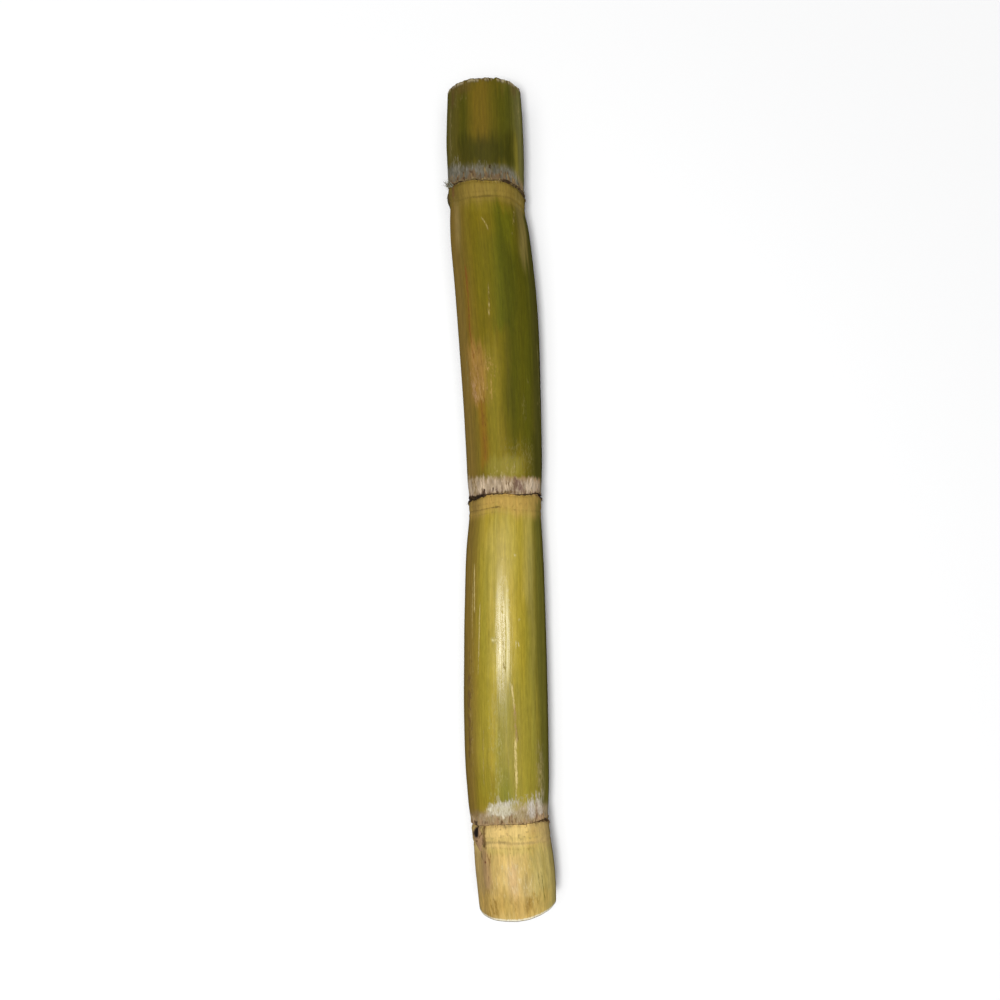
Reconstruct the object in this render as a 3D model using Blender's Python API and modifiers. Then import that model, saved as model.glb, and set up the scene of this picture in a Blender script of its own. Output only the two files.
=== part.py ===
"""A length of sugarcane stalk, cut at both ends and lying on its side.

The stalk is one grown piece: four stretches of cane, the internodes, with three nodes between them.
Going up the plant, a node has a leaf scar, a root band with small root bumps, and a growth ring. Its
bud sits in the root band, and buds stand on alternate sides. The torn, dry foot of the old leaf
sheath is still at each scar, as a piece of its own.

Metres, +Z up. +Y points to the root end and -Y to the growing tip. The stalk rests on z = 0.
"""

import math
import random
from collections import namedtuple

import bmesh
import bpy
from mathutils import Matrix, Vector

MM = 0.001

# The cane's shape: distance from the root-end cut, how far the centre line lies to +X, and the radius.
# A smooth curve runs through them.
Station = namedtuple("Station", "distance side radius")
STATIONS = tuple(
    Station(distance * MM, side * MM, radius * MM)
    for distance, side, radius in (
        (0, -6.9, 16.3),
        (12, -6.6, 17.0),
        (24, -6.4, 17.4),
        (36, -6.1, 17.2),
        (44, -5.9, 17.0),
        (52, -5.3, 16.8),
        (60, -4.5, 17.7),
        (70, -3.6, 18.2),
        (90, -1.6, 18.3),
        (110, -0.2, 18.1),
        (135, 1.1, 17.5),
        (162, 2.2, 17.0),
        (174, 2.4, 16.6),
        (183, 2.6, 15.9),
        (190, 2.6, 16.1),
        (205, 2.4, 17.2),
        (225, 2.5, 18.0),
        (250, 2.7, 18.5),
        (275, 3.0, 18.8),
        (300, 3.5, 18.7),
        (312, 4.0, 18.3),
        (321, 4.3, 17.7),
        (327, 4.7, 17.0),
        (335, 5.7, 17.2),
        (345, 6.8, 17.7),
        (355, 7.8, 17.6),
        (364, 8.4, 17.2),
    )
)
STALK_LENGTH = STATIONS[-1].distance

# How a ring round the cane departs from square to it: how far it reaches towards the tip at +X, and
# how far on top.
Tilt = namedtuple("Tilt", "side top")
ROOT_CUT = Tilt(-0.5 * MM, -1.0 * MM)
TIP_CUT = Tilt(-1.9 * MM, 2.0 * MM)

# A node: where its leaf scar is, the scar's height, the width of its root band, and which way its bud
# faces. Directions round the cane are angles from straight up, positive towards +X. The sheath
# remnant runs from one direction to the other, over the top.
Node = namedtuple("Node", "name scar ridge band tilt bud remnant")
NODES = (
    Node(
        name="root",
        scar=43.9 * MM,
        ridge=0.4 * MM,
        band=7.4 * MM,
        tilt=Tilt(2.0 * MM, 0.2 * MM),
        bud=math.radians(-104),
        remnant=(math.radians(-78), math.radians(148)),
    ),
    Node(
        name="middle",
        scar=181.4 * MM,
        ridge=0.25 * MM,
        band=6.8 * MM,
        tilt=Tilt(-0.5 * MM, -1.6 * MM),
        bud=math.radians(116),
        remnant=(math.radians(-148), math.radians(88)),
    ),
    Node(
        name="tip",
        scar=326.6 * MM,
        ridge=0.3 * MM,
        band=8.6 * MM,
        tilt=Tilt(-1.2 * MM, -2.8 * MM),
        bud=math.radians(-58),
        remnant=(math.radians(-30), math.radians(148)),
    ),
)

SCAR_LEAD = 2.2 * MM
SCAR_FOOT = 0.5 * MM
CREVICE_DEPTH = 0.5 * MM
CREVICE_WIDTH = 2.0 * MM
BAND_SWELL = 0.3 * MM
ROOT_BUMP_HEIGHT = 0.28 * MM
ROOT_BUMP_ROWS = (0.57, 0.79)
ROOT_BUMP_VALLEYS = (0.46, 0.68)
GROWTH_RING_WIDTH = 2.2 * MM
GROWTH_RING_HEIGHT = 0.2 * MM
GROOVE_DEPTH = 0.25 * MM

BUD_LENGTH = 11.5 * MM
BUD_WIDTH = 9 * MM
BUD_THICKNESS = 5 * MM
BUD_PROUD = 1.3 * MM
BUD_START = 0.6 * MM

FURROW_DEPTH = 0.5 * MM
FURROW_WIDTH = 3.4 * MM
FURROW_LENGTH = 40 * MM

REMNANT_GAP = 0.35 * MM
REMNANT_START = SCAR_FOOT + REMNANT_GAP
REMNANT_THICKNESS = 0.65 * MM
REMNANT_WIDTH = 0.9 * MM
REMNANT_TOOTH = 1.5 * MM
REMNANT_COLUMNS = 90

TUFT_FIBRES = 4
TUFT_SPACING = math.radians(4)
TUFT_DROOP = math.radians(12)
TUFT_LENGTH = 2.6 * MM
TUFT_RADIUS = 0.45 * MM
TUFT_TIP_RADIUS = 0.3 * MM

CUT_EDGE = 0.4 * MM
SIDES = 60
INTERNODE_STEP = 12 * MM

# The two fullest places, which the stalk rests on, with a narrow flat at each.
ROOTWARD_BELLY = 90 * MM
TIPWARD_BELLY = 280 * MM
FLAT_DEPTH = 0.45 * MM

RIND = ("rind", (0.46, 0.40, 0.10, 1), 0.4)
DRY_SHEATH = ("dry_sheath", (0.10, 0.06, 0.03, 1), 0.85)


def clear_scene():
    for obj in list(bpy.data.objects):
        bpy.data.objects.remove(obj, do_unlink=True)


def new_collection(name):
    collection = bpy.data.collections.new(name)
    bpy.context.scene.collection.children.link(collection)
    return collection


def material(name, colour, roughness):
    made = bpy.data.materials.new(name)
    made.use_nodes = True
    shader = made.node_tree.nodes["Principled BSDF"]
    shader.inputs["Base Color"].default_value = colour
    shader.inputs["Roughness"].default_value = roughness
    shader.inputs["Metallic"].default_value = 0.0
    return made


def add_object(name, mesh, collection):
    obj = bpy.data.objects.new(name, mesh)
    collection.objects.link(obj)
    return obj


def apply_modifiers(obj):
    """Makes the evaluated mesh the object's own."""
    bpy.context.view_layer.update()
    graph = bpy.context.evaluated_depsgraph_get()
    mesh = bpy.data.meshes.new_from_object(obj.evaluated_get(graph))
    obj.modifiers.clear()
    obj.data = mesh


def finish_surface(obj, look):
    obj.data.materials.clear()
    obj.data.materials.append(look)
    obj.data.shade_smooth()
    obj.data.set_sharp_from_angle(angle=math.radians(35))


def ease(value):
    """0 up to 0, 1 from 1 on, and a smooth step between."""
    value = min(1.0, max(0.0, value))
    return value * value * (3 - 2 * value)


def bump(value):
    """1 at 0, falling smoothly to 0 at -1 and 1."""
    return ease(1 - abs(value))


def through_stations(distance, field):
    """A smooth curve through one column of the stations, sloped at each by its neighbours."""
    last = len(STATIONS) - 1
    right = next((i for i, s in enumerate(STATIONS) if s.distance > distance), last)
    left = right - 1

    def slope(i):
        before, after = STATIONS[max(i - 1, 0)], STATIONS[min(i + 1, last)]
        rise = getattr(after, field) - getattr(before, field)
        return rise / (after.distance - before.distance)

    start, end = STATIONS[left], STATIONS[right]
    span = end.distance - start.distance
    t = (distance - start.distance) / span
    return (
        (2 * t**3 - 3 * t**2 + 1) * getattr(start, field)
        + (t**3 - 2 * t**2 + t) * span * slope(left)
        + (3 * t**2 - 2 * t**3) * getattr(end, field)
        + (t**3 - t**2) * span * slope(right)
    )


def centre_height(distance):
    """The height of the centre line, which lets both bellies touch the ground."""
    rootward = through_stations(ROOTWARD_BELLY, "radius")
    tipward = through_stations(TIPWARD_BELLY, "radius")
    share = (distance - ROOTWARD_BELLY) / (TIPWARD_BELLY - ROOTWARD_BELLY)
    return rootward + (tipward - rootward) * share - FLAT_DEPTH


def tilt_at(distance):
    """How a ring at this distance is tilted, eased from one known ring to the next."""
    known = [(0.0, ROOT_CUT)]
    known += [(node.scar, node.tilt) for node in NODES]
    known += [(STALK_LENGTH, TIP_CUT)]
    for (start, first), (end, second) in zip(known, known[1:]):
        if distance <= end:
            share = ease((distance - start) / (end - start))
            return Tilt(*(a + (b - a) * share for a, b in zip(first, second)))
    return TIP_CUT


def node_relief(node, past_scar):
    """The height of a node's rings over the plain cane. past_scar is positive towards the tip."""
    if past_scar <= 0:
        return node.ridge * ease(1 + past_scar / SCAR_LEAD)
    foot = (node.ridge + CREVICE_DEPTH) * ease(1 - past_scar / SCAR_FOOT)
    crevice = CREVICE_DEPTH * (1 - ease(past_scar / CREVICE_WIDTH - 0.5))
    rise = ease((past_scar - CREVICE_WIDTH) / CREVICE_WIDTH)
    swell = BAND_SWELL * rise * ease((node.band - past_scar) / CREVICE_WIDTH)
    half_ring = GROWTH_RING_WIDTH / 2
    ring = (past_scar - node.band) / half_ring
    grooves = bump(ring) + 0.6 * bump(ring - 2)
    return foot + swell - crevice + GROWTH_RING_HEIGHT * bump(ring - 1) - GROOVE_DEPTH * grooves


def turned_radius(distance):
    """The radius before anything that differs round the cane."""
    radius = through_stations(distance, "radius")
    for node in NODES:
        radius += node_relief(node, distance - node.scar)
    edge = min(distance, STALK_LENGTH - distance)
    return radius - CUT_EDGE * (1 - ease(edge / CUT_EDGE))


def turn_between(first, second):
    """The angle from one direction round the cane to another, between minus and plus half a turn."""
    return (first - second + math.pi) % math.tau - math.pi


def furrow(distance, around):
    """The depth of the shallow channel that runs on from each bud towards the tip."""
    depth = 0.0
    for node in NODES:
        past_bud = distance - node.scar - BUD_START - BUD_LENGTH / 2
        across = turn_between(around, node.bud) * through_stations(distance, "radius")
        along = ease(past_bud / (BUD_LENGTH / 2)) * ease(1 - past_bud / FURROW_LENGTH)
        depth += FURROW_DEPTH * along * math.exp(-((across / FURROW_WIDTH) ** 2))
    return depth


def centre_point(distance):
    """A place on the centre line, before the stalk is centred on the origin."""
    return Vector((through_stations(distance, "side"), -distance, centre_height(distance)))


def outwards_at(around):
    return Vector((math.sin(around), 0, math.cos(around)))


def surface_point(distance, around, radius):
    tilt = tilt_at(distance)
    along = tilt.side * math.sin(around) + tilt.top * math.cos(around)
    return centre_point(distance) + radius * outwards_at(around) - Vector((0, along, 0))


def on_surface(distance, around, lift=0.0):
    radius = turned_radius(distance) - furrow(distance, around) + lift
    return surface_point(distance, around, radius)


def evenly_between(start, end):
    count = max(1, round((end - start) / INTERNODE_STEP))
    return {start + (end - start) * i / count for i in range(1, count)}


def root_bump_rings():
    """Where the rows of root bumps are, each with its number."""
    rings = {}
    for node in NODES:
        for row, share in enumerate(ROOT_BUMP_ROWS):
            rings[node.scar + node.band * share] = row
    return rings


def ring_distances():
    """Where the cane has rings of points: close together at its nodes, further apart between them."""
    places = {0.0, CUT_EDGE, STALK_LENGTH - CUT_EDGE, STALK_LENGTH} | set(root_bump_rings())
    start = CUT_EDGE
    for node in NODES:
        lead = node.scar - 3 * SCAR_LEAD
        after = node.scar + node.band + 3 * GROWTH_RING_WIDTH
        half_ring = GROWTH_RING_WIDTH / 2
        places |= {node.scar + node.band * share for share in ROOT_BUMP_VALLEYS}
        places |= {lead + SCAR_LEAD * part for part in (0, 1, 2, 2.5, 3)}
        places |= {node.scar + SCAR_FOOT, node.scar + CREVICE_WIDTH / 2, node.scar + CREVICE_WIDTH}
        places |= {node.scar + node.band + half_ring * part for part in (-1, 0, 1, 2, 3, 6)}
        places |= evenly_between(start, lead)
        start = after
    return sorted(places | evenly_between(start, STALK_LENGTH - CUT_EDGE))


def turned_cane(collection):
    """The straight cane: a profile turned about Z, with its root end up."""
    profile = [Vector((0, 0, 0))]
    profile += [Vector((turned_radius(d), 0, -d)) for d in ring_distances()]
    profile += [Vector((0, 0, -STALK_LENGTH))]
    mesh = bpy.data.meshes.new("stalk")
    mesh.from_pydata(profile, [(i, i + 1) for i in range(len(profile) - 1)], [])
    stalk = add_object("stalk", mesh, collection)
    turn = stalk.modifiers.new("turn", "SCREW")
    turn.steps = turn.render_steps = SIDES
    turn.use_merge_vertices = True
    turn.merge_threshold = 0.01 * MM
    apply_modifiers(stalk)
    return stalk


def lay_down(stalk):
    """Bends the straight cane along its centre line, lays it down, raises its root bumps, and
    flattens the two places that it rests on."""
    bump_rings = root_bump_rings()
    for vertex in stalk.data.vertices:
        x, y, z = vertex.co
        distance, radius = -z, math.hypot(x, y)
        if radius < CUT_EDGE:
            vertex.co = centre_point(distance)
            continue
        around = math.atan2(x, -y)
        radius -= furrow(distance, around)
        row = next((row for d, row in bump_rings.items() if abs(d - distance) < CUT_EDGE / 4), None)
        column = round(around / math.tau * SIDES)
        if row is not None and (column + row) % 2 == 0:
            radius += ROOT_BUMP_HEIGHT
        vertex.co = surface_point(distance, around, radius)
        vertex.co.z = max(vertex.co.z, 0.0)


def bud(node, collection):
    """A flat, pointed bud, pressed to the cane, with its point towards the tip."""
    name = f"bud_{node.name}"
    shape = bmesh.new()
    bmesh.ops.create_uvsphere(shape, u_segments=16, v_segments=8, radius=1.0)
    for vertex in shape.verts:
        towards_tip = ease((vertex.co.y + 1) / 2)
        vertex.co.x *= BUD_WIDTH / 2 * (1 - 0.62 * towards_tip**2)
        vertex.co.y *= BUD_LENGTH / 2
        vertex.co.z *= BUD_THICKNESS / 2 * (1 - 0.45 * towards_tip)
    mesh = bpy.data.meshes.new(name)
    shape.to_mesh(mesh)
    shape.free()
    piece = add_object(name, mesh, collection)
    middle = node.scar + BUD_START + BUD_LENGTH / 2
    ends = [on_surface(middle + part * BUD_LENGTH / 3, node.bud) for part in (-1, 1)]
    growth = (ends[1] - ends[0]).normalized()
    outwards = outwards_at(node.bud)
    outwards = (outwards - growth * outwards.dot(growth)).normalized()
    turn = Matrix((growth.cross(outwards), growth, outwards)).transposed().to_4x4()
    centre = on_surface(middle, node.bud, BUD_PROUD - BUD_THICKNESS / 2)
    piece.matrix_world = Matrix.Translation(centre) @ turn
    return piece


def fuse(body, collection):
    """Joins a collection's pieces to a body, and removes them."""
    union = body.modifiers.new("fuse", "BOOLEAN")
    union.operation = "UNION"
    union.operand_type = "COLLECTION"
    union.collection = collection
    union.solver = "EXACT"
    apply_modifiers(body)
    for piece in list(collection.objects):
        bpy.data.objects.remove(piece, do_unlink=True)
    bpy.data.collections.remove(collection)


def sheath_remnant(node, collection):
    """The torn foot of the old leaf sheath: a ragged strip that lies in the crevice past the scar."""
    name = f"sheath_remnant_{node.name}"
    dice = random.Random(name)
    first, last = node.remnant
    shape = bmesh.new()
    rows = []
    for column in range(REMNANT_COLUMNS + 1):
        around = first + (last - first) * column / REMNANT_COLUMNS
        tooth = dice.random() if column % 2 else 0.2 * dice.random()
        width = REMNANT_WIDTH + REMNANT_TOOTH * tooth
        places = [node.scar + REMNANT_START + width * part for part in (0, 0.5, 1)]
        rows.append([shape.verts.new(on_surface(d, around, REMNANT_GAP)) for d in places])
    for one, other in zip(rows, rows[1:]):
        for i in range(2):
            shape.faces.new((one[i], one[i + 1], other[i + 1], other[i]))
    mesh = bpy.data.meshes.new(name)
    shape.to_mesh(mesh)
    shape.free()
    remnant = add_object(name, mesh, collection)
    shell = remnant.modifiers.new("thickness", "SOLIDIFY")
    shell.thickness = REMNANT_THICKNESS
    shell.offset = 1.0
    apply_modifiers(remnant)
    return remnant


def tuft(node, collection):
    """Stiff fibres that stand out from the end of a sheath remnant, leaning back to the root end."""
    dice = random.Random("tuft")
    for i in range(TUFT_FIBRES):
        mesh = bpy.data.meshes.new(f"tuft_fibre_{i}")
        shape = bmesh.new()
        bmesh.ops.create_cone(
            shape,
            cap_ends=True,
            segments=6,
            radius1=TUFT_RADIUS,
            radius2=TUFT_TIP_RADIUS,
            depth=TUFT_LENGTH,
            matrix=Matrix.Translation((0, 0, TUFT_LENGTH / 2)),
        )
        shape.to_mesh(mesh)
        shape.free()
        fibre = add_object(mesh.name, mesh, collection)
        around = node.remnant[0] + TUFT_SPACING * (i + 1)
        distance = node.scar + REMNANT_START + REMNANT_WIDTH / 2
        foot = on_surface(distance, around, REMNANT_GAP + REMNANT_THICKNESS / 2)
        lean = Vector((0, dice.uniform(0.3, 1.1), 0))
        direction = outwards_at(around - TUFT_DROOP) + lean
        turn = direction.to_track_quat("Z", "Y").to_matrix().to_4x4()
        fibre.matrix_world = Matrix.Translation(foot) @ turn


def centre_on_origin(objects):
    """Puts the middle of the whole stalk's box over the origin."""
    points = [vertex.co for obj in objects for vertex in obj.data.vertices]
    middle = [(min(p[axis] for p in points) + max(p[axis] for p in points)) / 2 for axis in (0, 1)]
    for obj in objects:
        obj.data.transform(Matrix.Translation((-middle[0], -middle[1], 0)))


def main():
    clear_scene()
    cane = new_collection("sugarcane_stalk")
    stalk = turned_cane(cane)
    lay_down(stalk)
    buds = new_collection("buds")
    for node in NODES:
        bud(node, buds)
    fuse(stalk, buds)
    remnants = [sheath_remnant(node, cane) for node in NODES]
    fibres = new_collection("tuft")
    tuft(NODES[0], fibres)
    fuse(remnants[0], fibres)
    centre_on_origin([stalk, *remnants])
    finish_surface(stalk, material(*RIND))
    dry_sheath = material(*DRY_SHEATH)
    for remnant in remnants:
        finish_surface(remnant, dry_sheath)


main()
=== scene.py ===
"""A length of sugarcane stalk, as it looks: the finished surface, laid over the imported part.

Metres, +Z up, in the part's own frame. +Y points to the root end and -Y to the growing tip, and the
stalk lies on z = 0. A place on the cane is its distance from the root-end cut and its direction
round the cane, an angle from straight up, positive towards +X. Marks are placed by the pixel of the
photograph that shows them, and lie on the cane itself.
"""

import functools
import itertools
import math
from collections import namedtuple

import bmesh
import bpy
import numpy as np
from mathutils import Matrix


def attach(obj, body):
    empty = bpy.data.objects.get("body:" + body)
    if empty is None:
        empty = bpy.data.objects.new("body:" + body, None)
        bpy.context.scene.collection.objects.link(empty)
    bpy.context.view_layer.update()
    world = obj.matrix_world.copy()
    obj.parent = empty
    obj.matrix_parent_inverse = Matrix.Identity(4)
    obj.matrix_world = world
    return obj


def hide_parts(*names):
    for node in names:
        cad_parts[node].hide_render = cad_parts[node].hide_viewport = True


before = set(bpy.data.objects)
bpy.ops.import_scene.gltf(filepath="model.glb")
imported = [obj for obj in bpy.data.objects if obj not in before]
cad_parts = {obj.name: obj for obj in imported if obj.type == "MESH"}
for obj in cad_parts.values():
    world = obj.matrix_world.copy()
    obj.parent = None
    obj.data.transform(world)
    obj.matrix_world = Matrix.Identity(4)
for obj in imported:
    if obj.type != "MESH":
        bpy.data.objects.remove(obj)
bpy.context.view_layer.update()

MM = 0.001
PIXEL = 0.45 * MM

# The cane's shape, as in the part: distance from the root-end cut, how far the centre line lies to
# +X, and the radius.
STATIONS = MM * np.array([
    (0, -6.9, 16.3), (12, -6.6, 17.0), (24, -6.4, 17.4), (36, -6.1, 17.2), (44, -5.9, 17.0),
    (52, -5.3, 16.8), (60, -4.5, 17.7), (70, -3.6, 18.2), (90, -1.6, 18.3), (110, -0.2, 18.1),
    (135, 1.1, 17.5), (162, 2.2, 17.0), (174, 2.4, 16.6), (183, 2.6, 15.9), (190, 2.6, 16.1),
    (205, 2.4, 17.2), (225, 2.5, 18.0), (250, 2.7, 18.5), (275, 3.0, 18.8), (300, 3.5, 18.7),
    (312, 4.0, 18.3), (321, 4.3, 17.7), (327, 4.7, 17.0), (335, 5.7, 17.2), (345, 6.8, 17.7),
    (355, 7.8, 17.6), (364, 8.4, 17.2),
])
SIDE, RADIUS = 1, 2
STALK_LENGTH = STATIONS[-1, 0]
ORIGIN = np.array((-0.355, 182.82, 0.0)) * MM
MEAN_RADIUS = 17.5 * MM
CUT_EDGE = 0.4 * MM
ROOTWARD_BELLY, TIPWARD_BELLY, FLAT_DEPTH = 90 * MM, 280 * MM, 0.45 * MM

# How far the rings round the cane reach towards the tip, at +X and on top: at the two cuts and at
# each node.
TILT_PLACES = np.array((0.0, 43.9, 181.4, 326.6, 364.0)) * MM
TILTS = np.array(((-0.5, -1.0), (2.0, 0.2), (-0.5, -1.6), (-1.2, -2.8), (-1.9, 2.0))) * MM

Node = namedtuple("Node", "name scar ridge band bud remnant")
NODES = (
    Node("root", 43.9 * MM, 0.4 * MM, 7.4 * MM, math.radians(-104), (-78, 148)),
    Node("middle", 181.4 * MM, 0.25 * MM, 6.8 * MM, math.radians(116), (-148, 88)),
    Node("tip", 326.6 * MM, 0.3 * MM, 8.6 * MM, math.radians(-58), (-30, 148)),
)

# The photograph looks straight down. This is the camera's place, how high the cane's axis is, and
# the pixel of the photograph that the camera faces.
CAMERA_PLACE = np.array((0.0, -9.0, 504.0)) * MM
AXIS_HEIGHT = 18 * MM
FACING_COLUMN, FACING_ROW = 500, 520
# How many steps the search for a seen place takes, and how near it gets to the cane's outline.
SEEN_STEPS, EDGE_SINE = 30, 0.985

# Where the leaf scars and the growth rings run, as the photograph shows them.
SCAR_LINES = {
    "root": ((455, 184), (462, 182), (470, 180.5), (489, 179.5), (500, 179.5), (506, 181),
             (512, 183.5), (518, 188), (523, 194)),
    "middle": ((472, 498), (478, 497), (486, 495), (495, 494), (505, 493), (516, 494), (524, 494.5),
               (536, 493)),
    "tip": ((484, 825.5), (494, 825), (504, 824.5), (522, 824), (532, 822.5), (542, 819.5)),
}
RING_LINES = {
    "root": ((458, 200), (466, 198), (478, 197), (490, 196), (500, 196), (512, 199), (520, 205)),
    "middle": ((472, 511.5), (485, 509), (499, 507), (515, 510), (530, 511), (540, 511)),
    "tip": ((490, 842), (505, 842.5), (520, 843), (535, 842), (545, 840)),
}


def mix(first, second, share):
    return first + (second - first) * share


def ease(value):
    """0 up to 0, 1 from 1 on, and a smooth step between."""
    value = np.clip(value, 0.0, 1.0)
    return value * value * (3 - 2 * value)


def bump(value):
    """1 at 0, falling smoothly to 0 at -1 and 1."""
    return ease(1 - np.abs(value))


def through_stations(distance, column):
    """A smooth curve through one column of the stations, sloped at each by its neighbours."""
    known, values = STATIONS[:, 0], STATIONS[:, column]
    order = np.arange(len(known))
    after, before = np.minimum(order + 1, len(known) - 1), np.maximum(order - 1, 0)
    slopes = (values[after] - values[before]) / (known[after] - known[before])
    right = np.clip(np.searchsorted(known, distance, side="right"), 1, len(known) - 1)
    left = right - 1
    span = known[right] - known[left]
    t = (distance - known[left]) / span
    return (
        (2 * t**3 - 3 * t**2 + 1) * values[left]
        + (t**3 - 2 * t**2 + t) * span * slopes[left]
        + (3 * t**2 - 2 * t**3) * values[right]
        + (t**3 - t**2) * span * slopes[right]
    )


def centre_height(distance):
    rootward = through_stations(ROOTWARD_BELLY, RADIUS)
    tipward = through_stations(TIPWARD_BELLY, RADIUS)
    share = (distance - ROOTWARD_BELLY) / (TIPWARD_BELLY - ROOTWARD_BELLY)
    return mix(rootward, tipward, share) - FLAT_DEPTH


def along_at(distance, around):
    """How far a ring at this distance reaches towards the tip, in this direction."""
    right = np.clip(np.searchsorted(TILT_PLACES, distance), 1, len(TILT_PLACES) - 1)
    start, end = TILT_PLACES[right - 1], TILT_PLACES[right]
    share = ease((distance - start) / (end - start))
    side, top = (mix(TILTS[right - 1, i], TILTS[right, i], share) for i in (0, 1))
    return side * np.sin(around) + top * np.cos(around)


def place(distance, around, radius):
    """Points at this radius from the centre line, as an array of rows x, y, z."""
    distance, around, radius = np.broadcast_arrays(distance, around, radius)
    x = through_stations(distance, SIDE) + radius * np.sin(around)
    y = -distance - along_at(distance, around)
    z = centre_height(distance) + radius * np.cos(around)
    return np.stack((x, y, z), axis=-1) + ORIGIN


@functools.cache
def seen(x, y):
    """The place on the cane that the photograph shows at this pixel, as (distance, around)."""
    around = lift = 0.0
    height = CAMERA_PLACE[2] - AXIS_HEIGHT
    for _ in range(SEEN_STEPS):
        scale = height / (height - lift)
        across = (x - FACING_COLUMN) * PIXEL / scale
        forward = CAMERA_PLACE[1] + (FACING_ROW - y) * PIXEL / scale
        distance = ORIGIN[1] - forward
        distance -= along_at(distance, around)
        radius = through_stations(distance, RADIUS)
        sine = (across - ORIGIN[0] - through_stations(distance, SIDE)) / radius
        around = math.asin(min(EDGE_SINE, max(-EDGE_SINE, sine)))
        lift = centre_height(distance) - AXIS_HEIGHT + radius * math.cos(around)
    return float(distance), around


def turn_between(first, second):
    return (first - second + math.pi) % math.tau - math.pi


def hidden_share(around, start, fade):
    """0 on top, and 1 where the cane has turned away from the photograph."""
    return ease((np.abs(turn_between(around, 0.0)) - start) / fade)


LATTICE_SIZE = 32
LATTICE = np.random.default_rng(11).random((LATTICE_SIZE,) * 3)


def noise(points, size, shift=0):
    """Smooth noise from 0 to 1, with features of this size along each axis, in millimetres."""
    scaled = points / (np.array(size) * MM) + shift
    cell = np.floor(scaled).astype(int)
    part = ease(scaled - cell)
    total = np.zeros(len(points))
    for corner in itertools.product((0, 1), repeat=3):
        weight = np.prod(np.where(corner, part, 1 - part), axis=1)
        index = (cell + corner) % LATTICE_SIZE
        total += weight * LATTICE[index[:, 0], index[:, 1], index[:, 2]]
    return total


def fibres(points, across, along, shift=0):
    """Smooth noise from 0 to 1 in streaks along the cane, in millimetres."""
    return noise(points, (across, along, across), shift)


def sway(points, across, along, shift=0):
    """The same noise around 0, up to 0.5 either way."""
    return fibres(points, across, along, shift) - 0.5


def straight(distance, around):
    """The same place on a straight cane of one thickness, for grain that runs along the cane."""
    distance, around = np.broadcast_arrays(distance, around)
    x, z = MEAN_RADIUS * np.sin(around), MEAN_RADIUS * np.cos(around)
    return np.stack((x, distance, z), axis=-1)


# Places on the cane, with where they lie on the straight one.
Places = namedtuple("Places", "distance around grain")


def places(distance, around):
    distance, around = np.broadcast_arrays(distance, around)
    return Places(distance, around, straight(distance, around))


# A line round the cane runs back to its default over this angle, past the points that show it.
LINE_REACH = math.radians(40)


@functools.cache
def known_line(points):
    """The directions and distances of a line's points, in order round the cane."""
    return np.array(sorted(seen(x, y)[::-1] for x, y in points)).T


def line_offset(points, default, around, start):
    """How far a line round the cane lies past start. It follows the points where they show it."""
    angles, distances = known_line(points)
    angles = np.concatenate(([angles[0] - LINE_REACH], angles, [angles[-1] + LINE_REACH]))
    offsets = np.concatenate(([default], distances - start, [default]))
    return np.interp(turn_between(around, 0.0), angles, offsets)


def past_scar(node, at):
    """How far the places lie past a node's leaf scar."""
    wobble = sway(at.grain, 1.6, 400, 3) * 0.5 * MM + sway(at.grain, 5, 400, 5) * 0.6 * MM
    line = line_offset(SCAR_LINES[node.name], 0.0, at.around, node.scar)
    return at.distance - node.scar - line - wobble


def past_ring(node, at):
    """How far they lie past its growth ring."""
    wobble = sway(at.grain, 6, 400, 9) * 0.5 * MM
    line = line_offset(RING_LINES[node.name], node.band, at.around, node.scar)
    return at.distance - node.scar - line - wobble


# A node: the rise up to its leaf scar and the scar's lip, the crevice past it, the swelling of the
# root band, half the growth ring's width, and the rows of root bumps.
SCAR_LEAD, SCAR_LIP = 2.4 * MM, 0.35 * MM
CREVICE_DEPTH, CREVICE_WIDTH = 0.5 * MM, 0.9 * MM
BAND_SWELL, RING_HALF = 0.3 * MM, 1.1 * MM
ROOT_ROWS, ROOTS_ROUND = (2.6 * MM, 4.4 * MM), 34
ROOT_SIZE, ROOT_HEIGHT = 0.6 * MM, 0.08 * MM
BUD_START, BUD_LENGTH = 0.6 * MM, 11.5 * MM
FURROW_DEPTH, FURROW_WIDTH, FURROW_LENGTH = 0.5 * MM, 3.4 * MM, 40 * MM
# The rind's unevenness, in millimetres: how wide and how long, which noise, and how high.
RIND_RELIEF = ((3.2, 70, 1, 0.22), (0.8, 30, 2, 0.07), (7, 16, 4, 0.12), (1.5, 45, 41, 0.07))
# How far from a cut its edge still strays.
CUT_REACH = 5 * MM


def root_bumps(past, around):
    """Small round root bumps in rows, 1 at each middle."""
    total = np.zeros(len(past))
    for row, middle in enumerate(ROOT_ROWS):
        turn = (around / math.tau * ROOTS_ROUND + row / 2) % 1 - 0.5
        across = turn * math.tau / ROOTS_ROUND * MEAN_RADIUS
        total += ease(1.2 - np.hypot(across, past - middle) / ROOT_SIZE)
    return total


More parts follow.
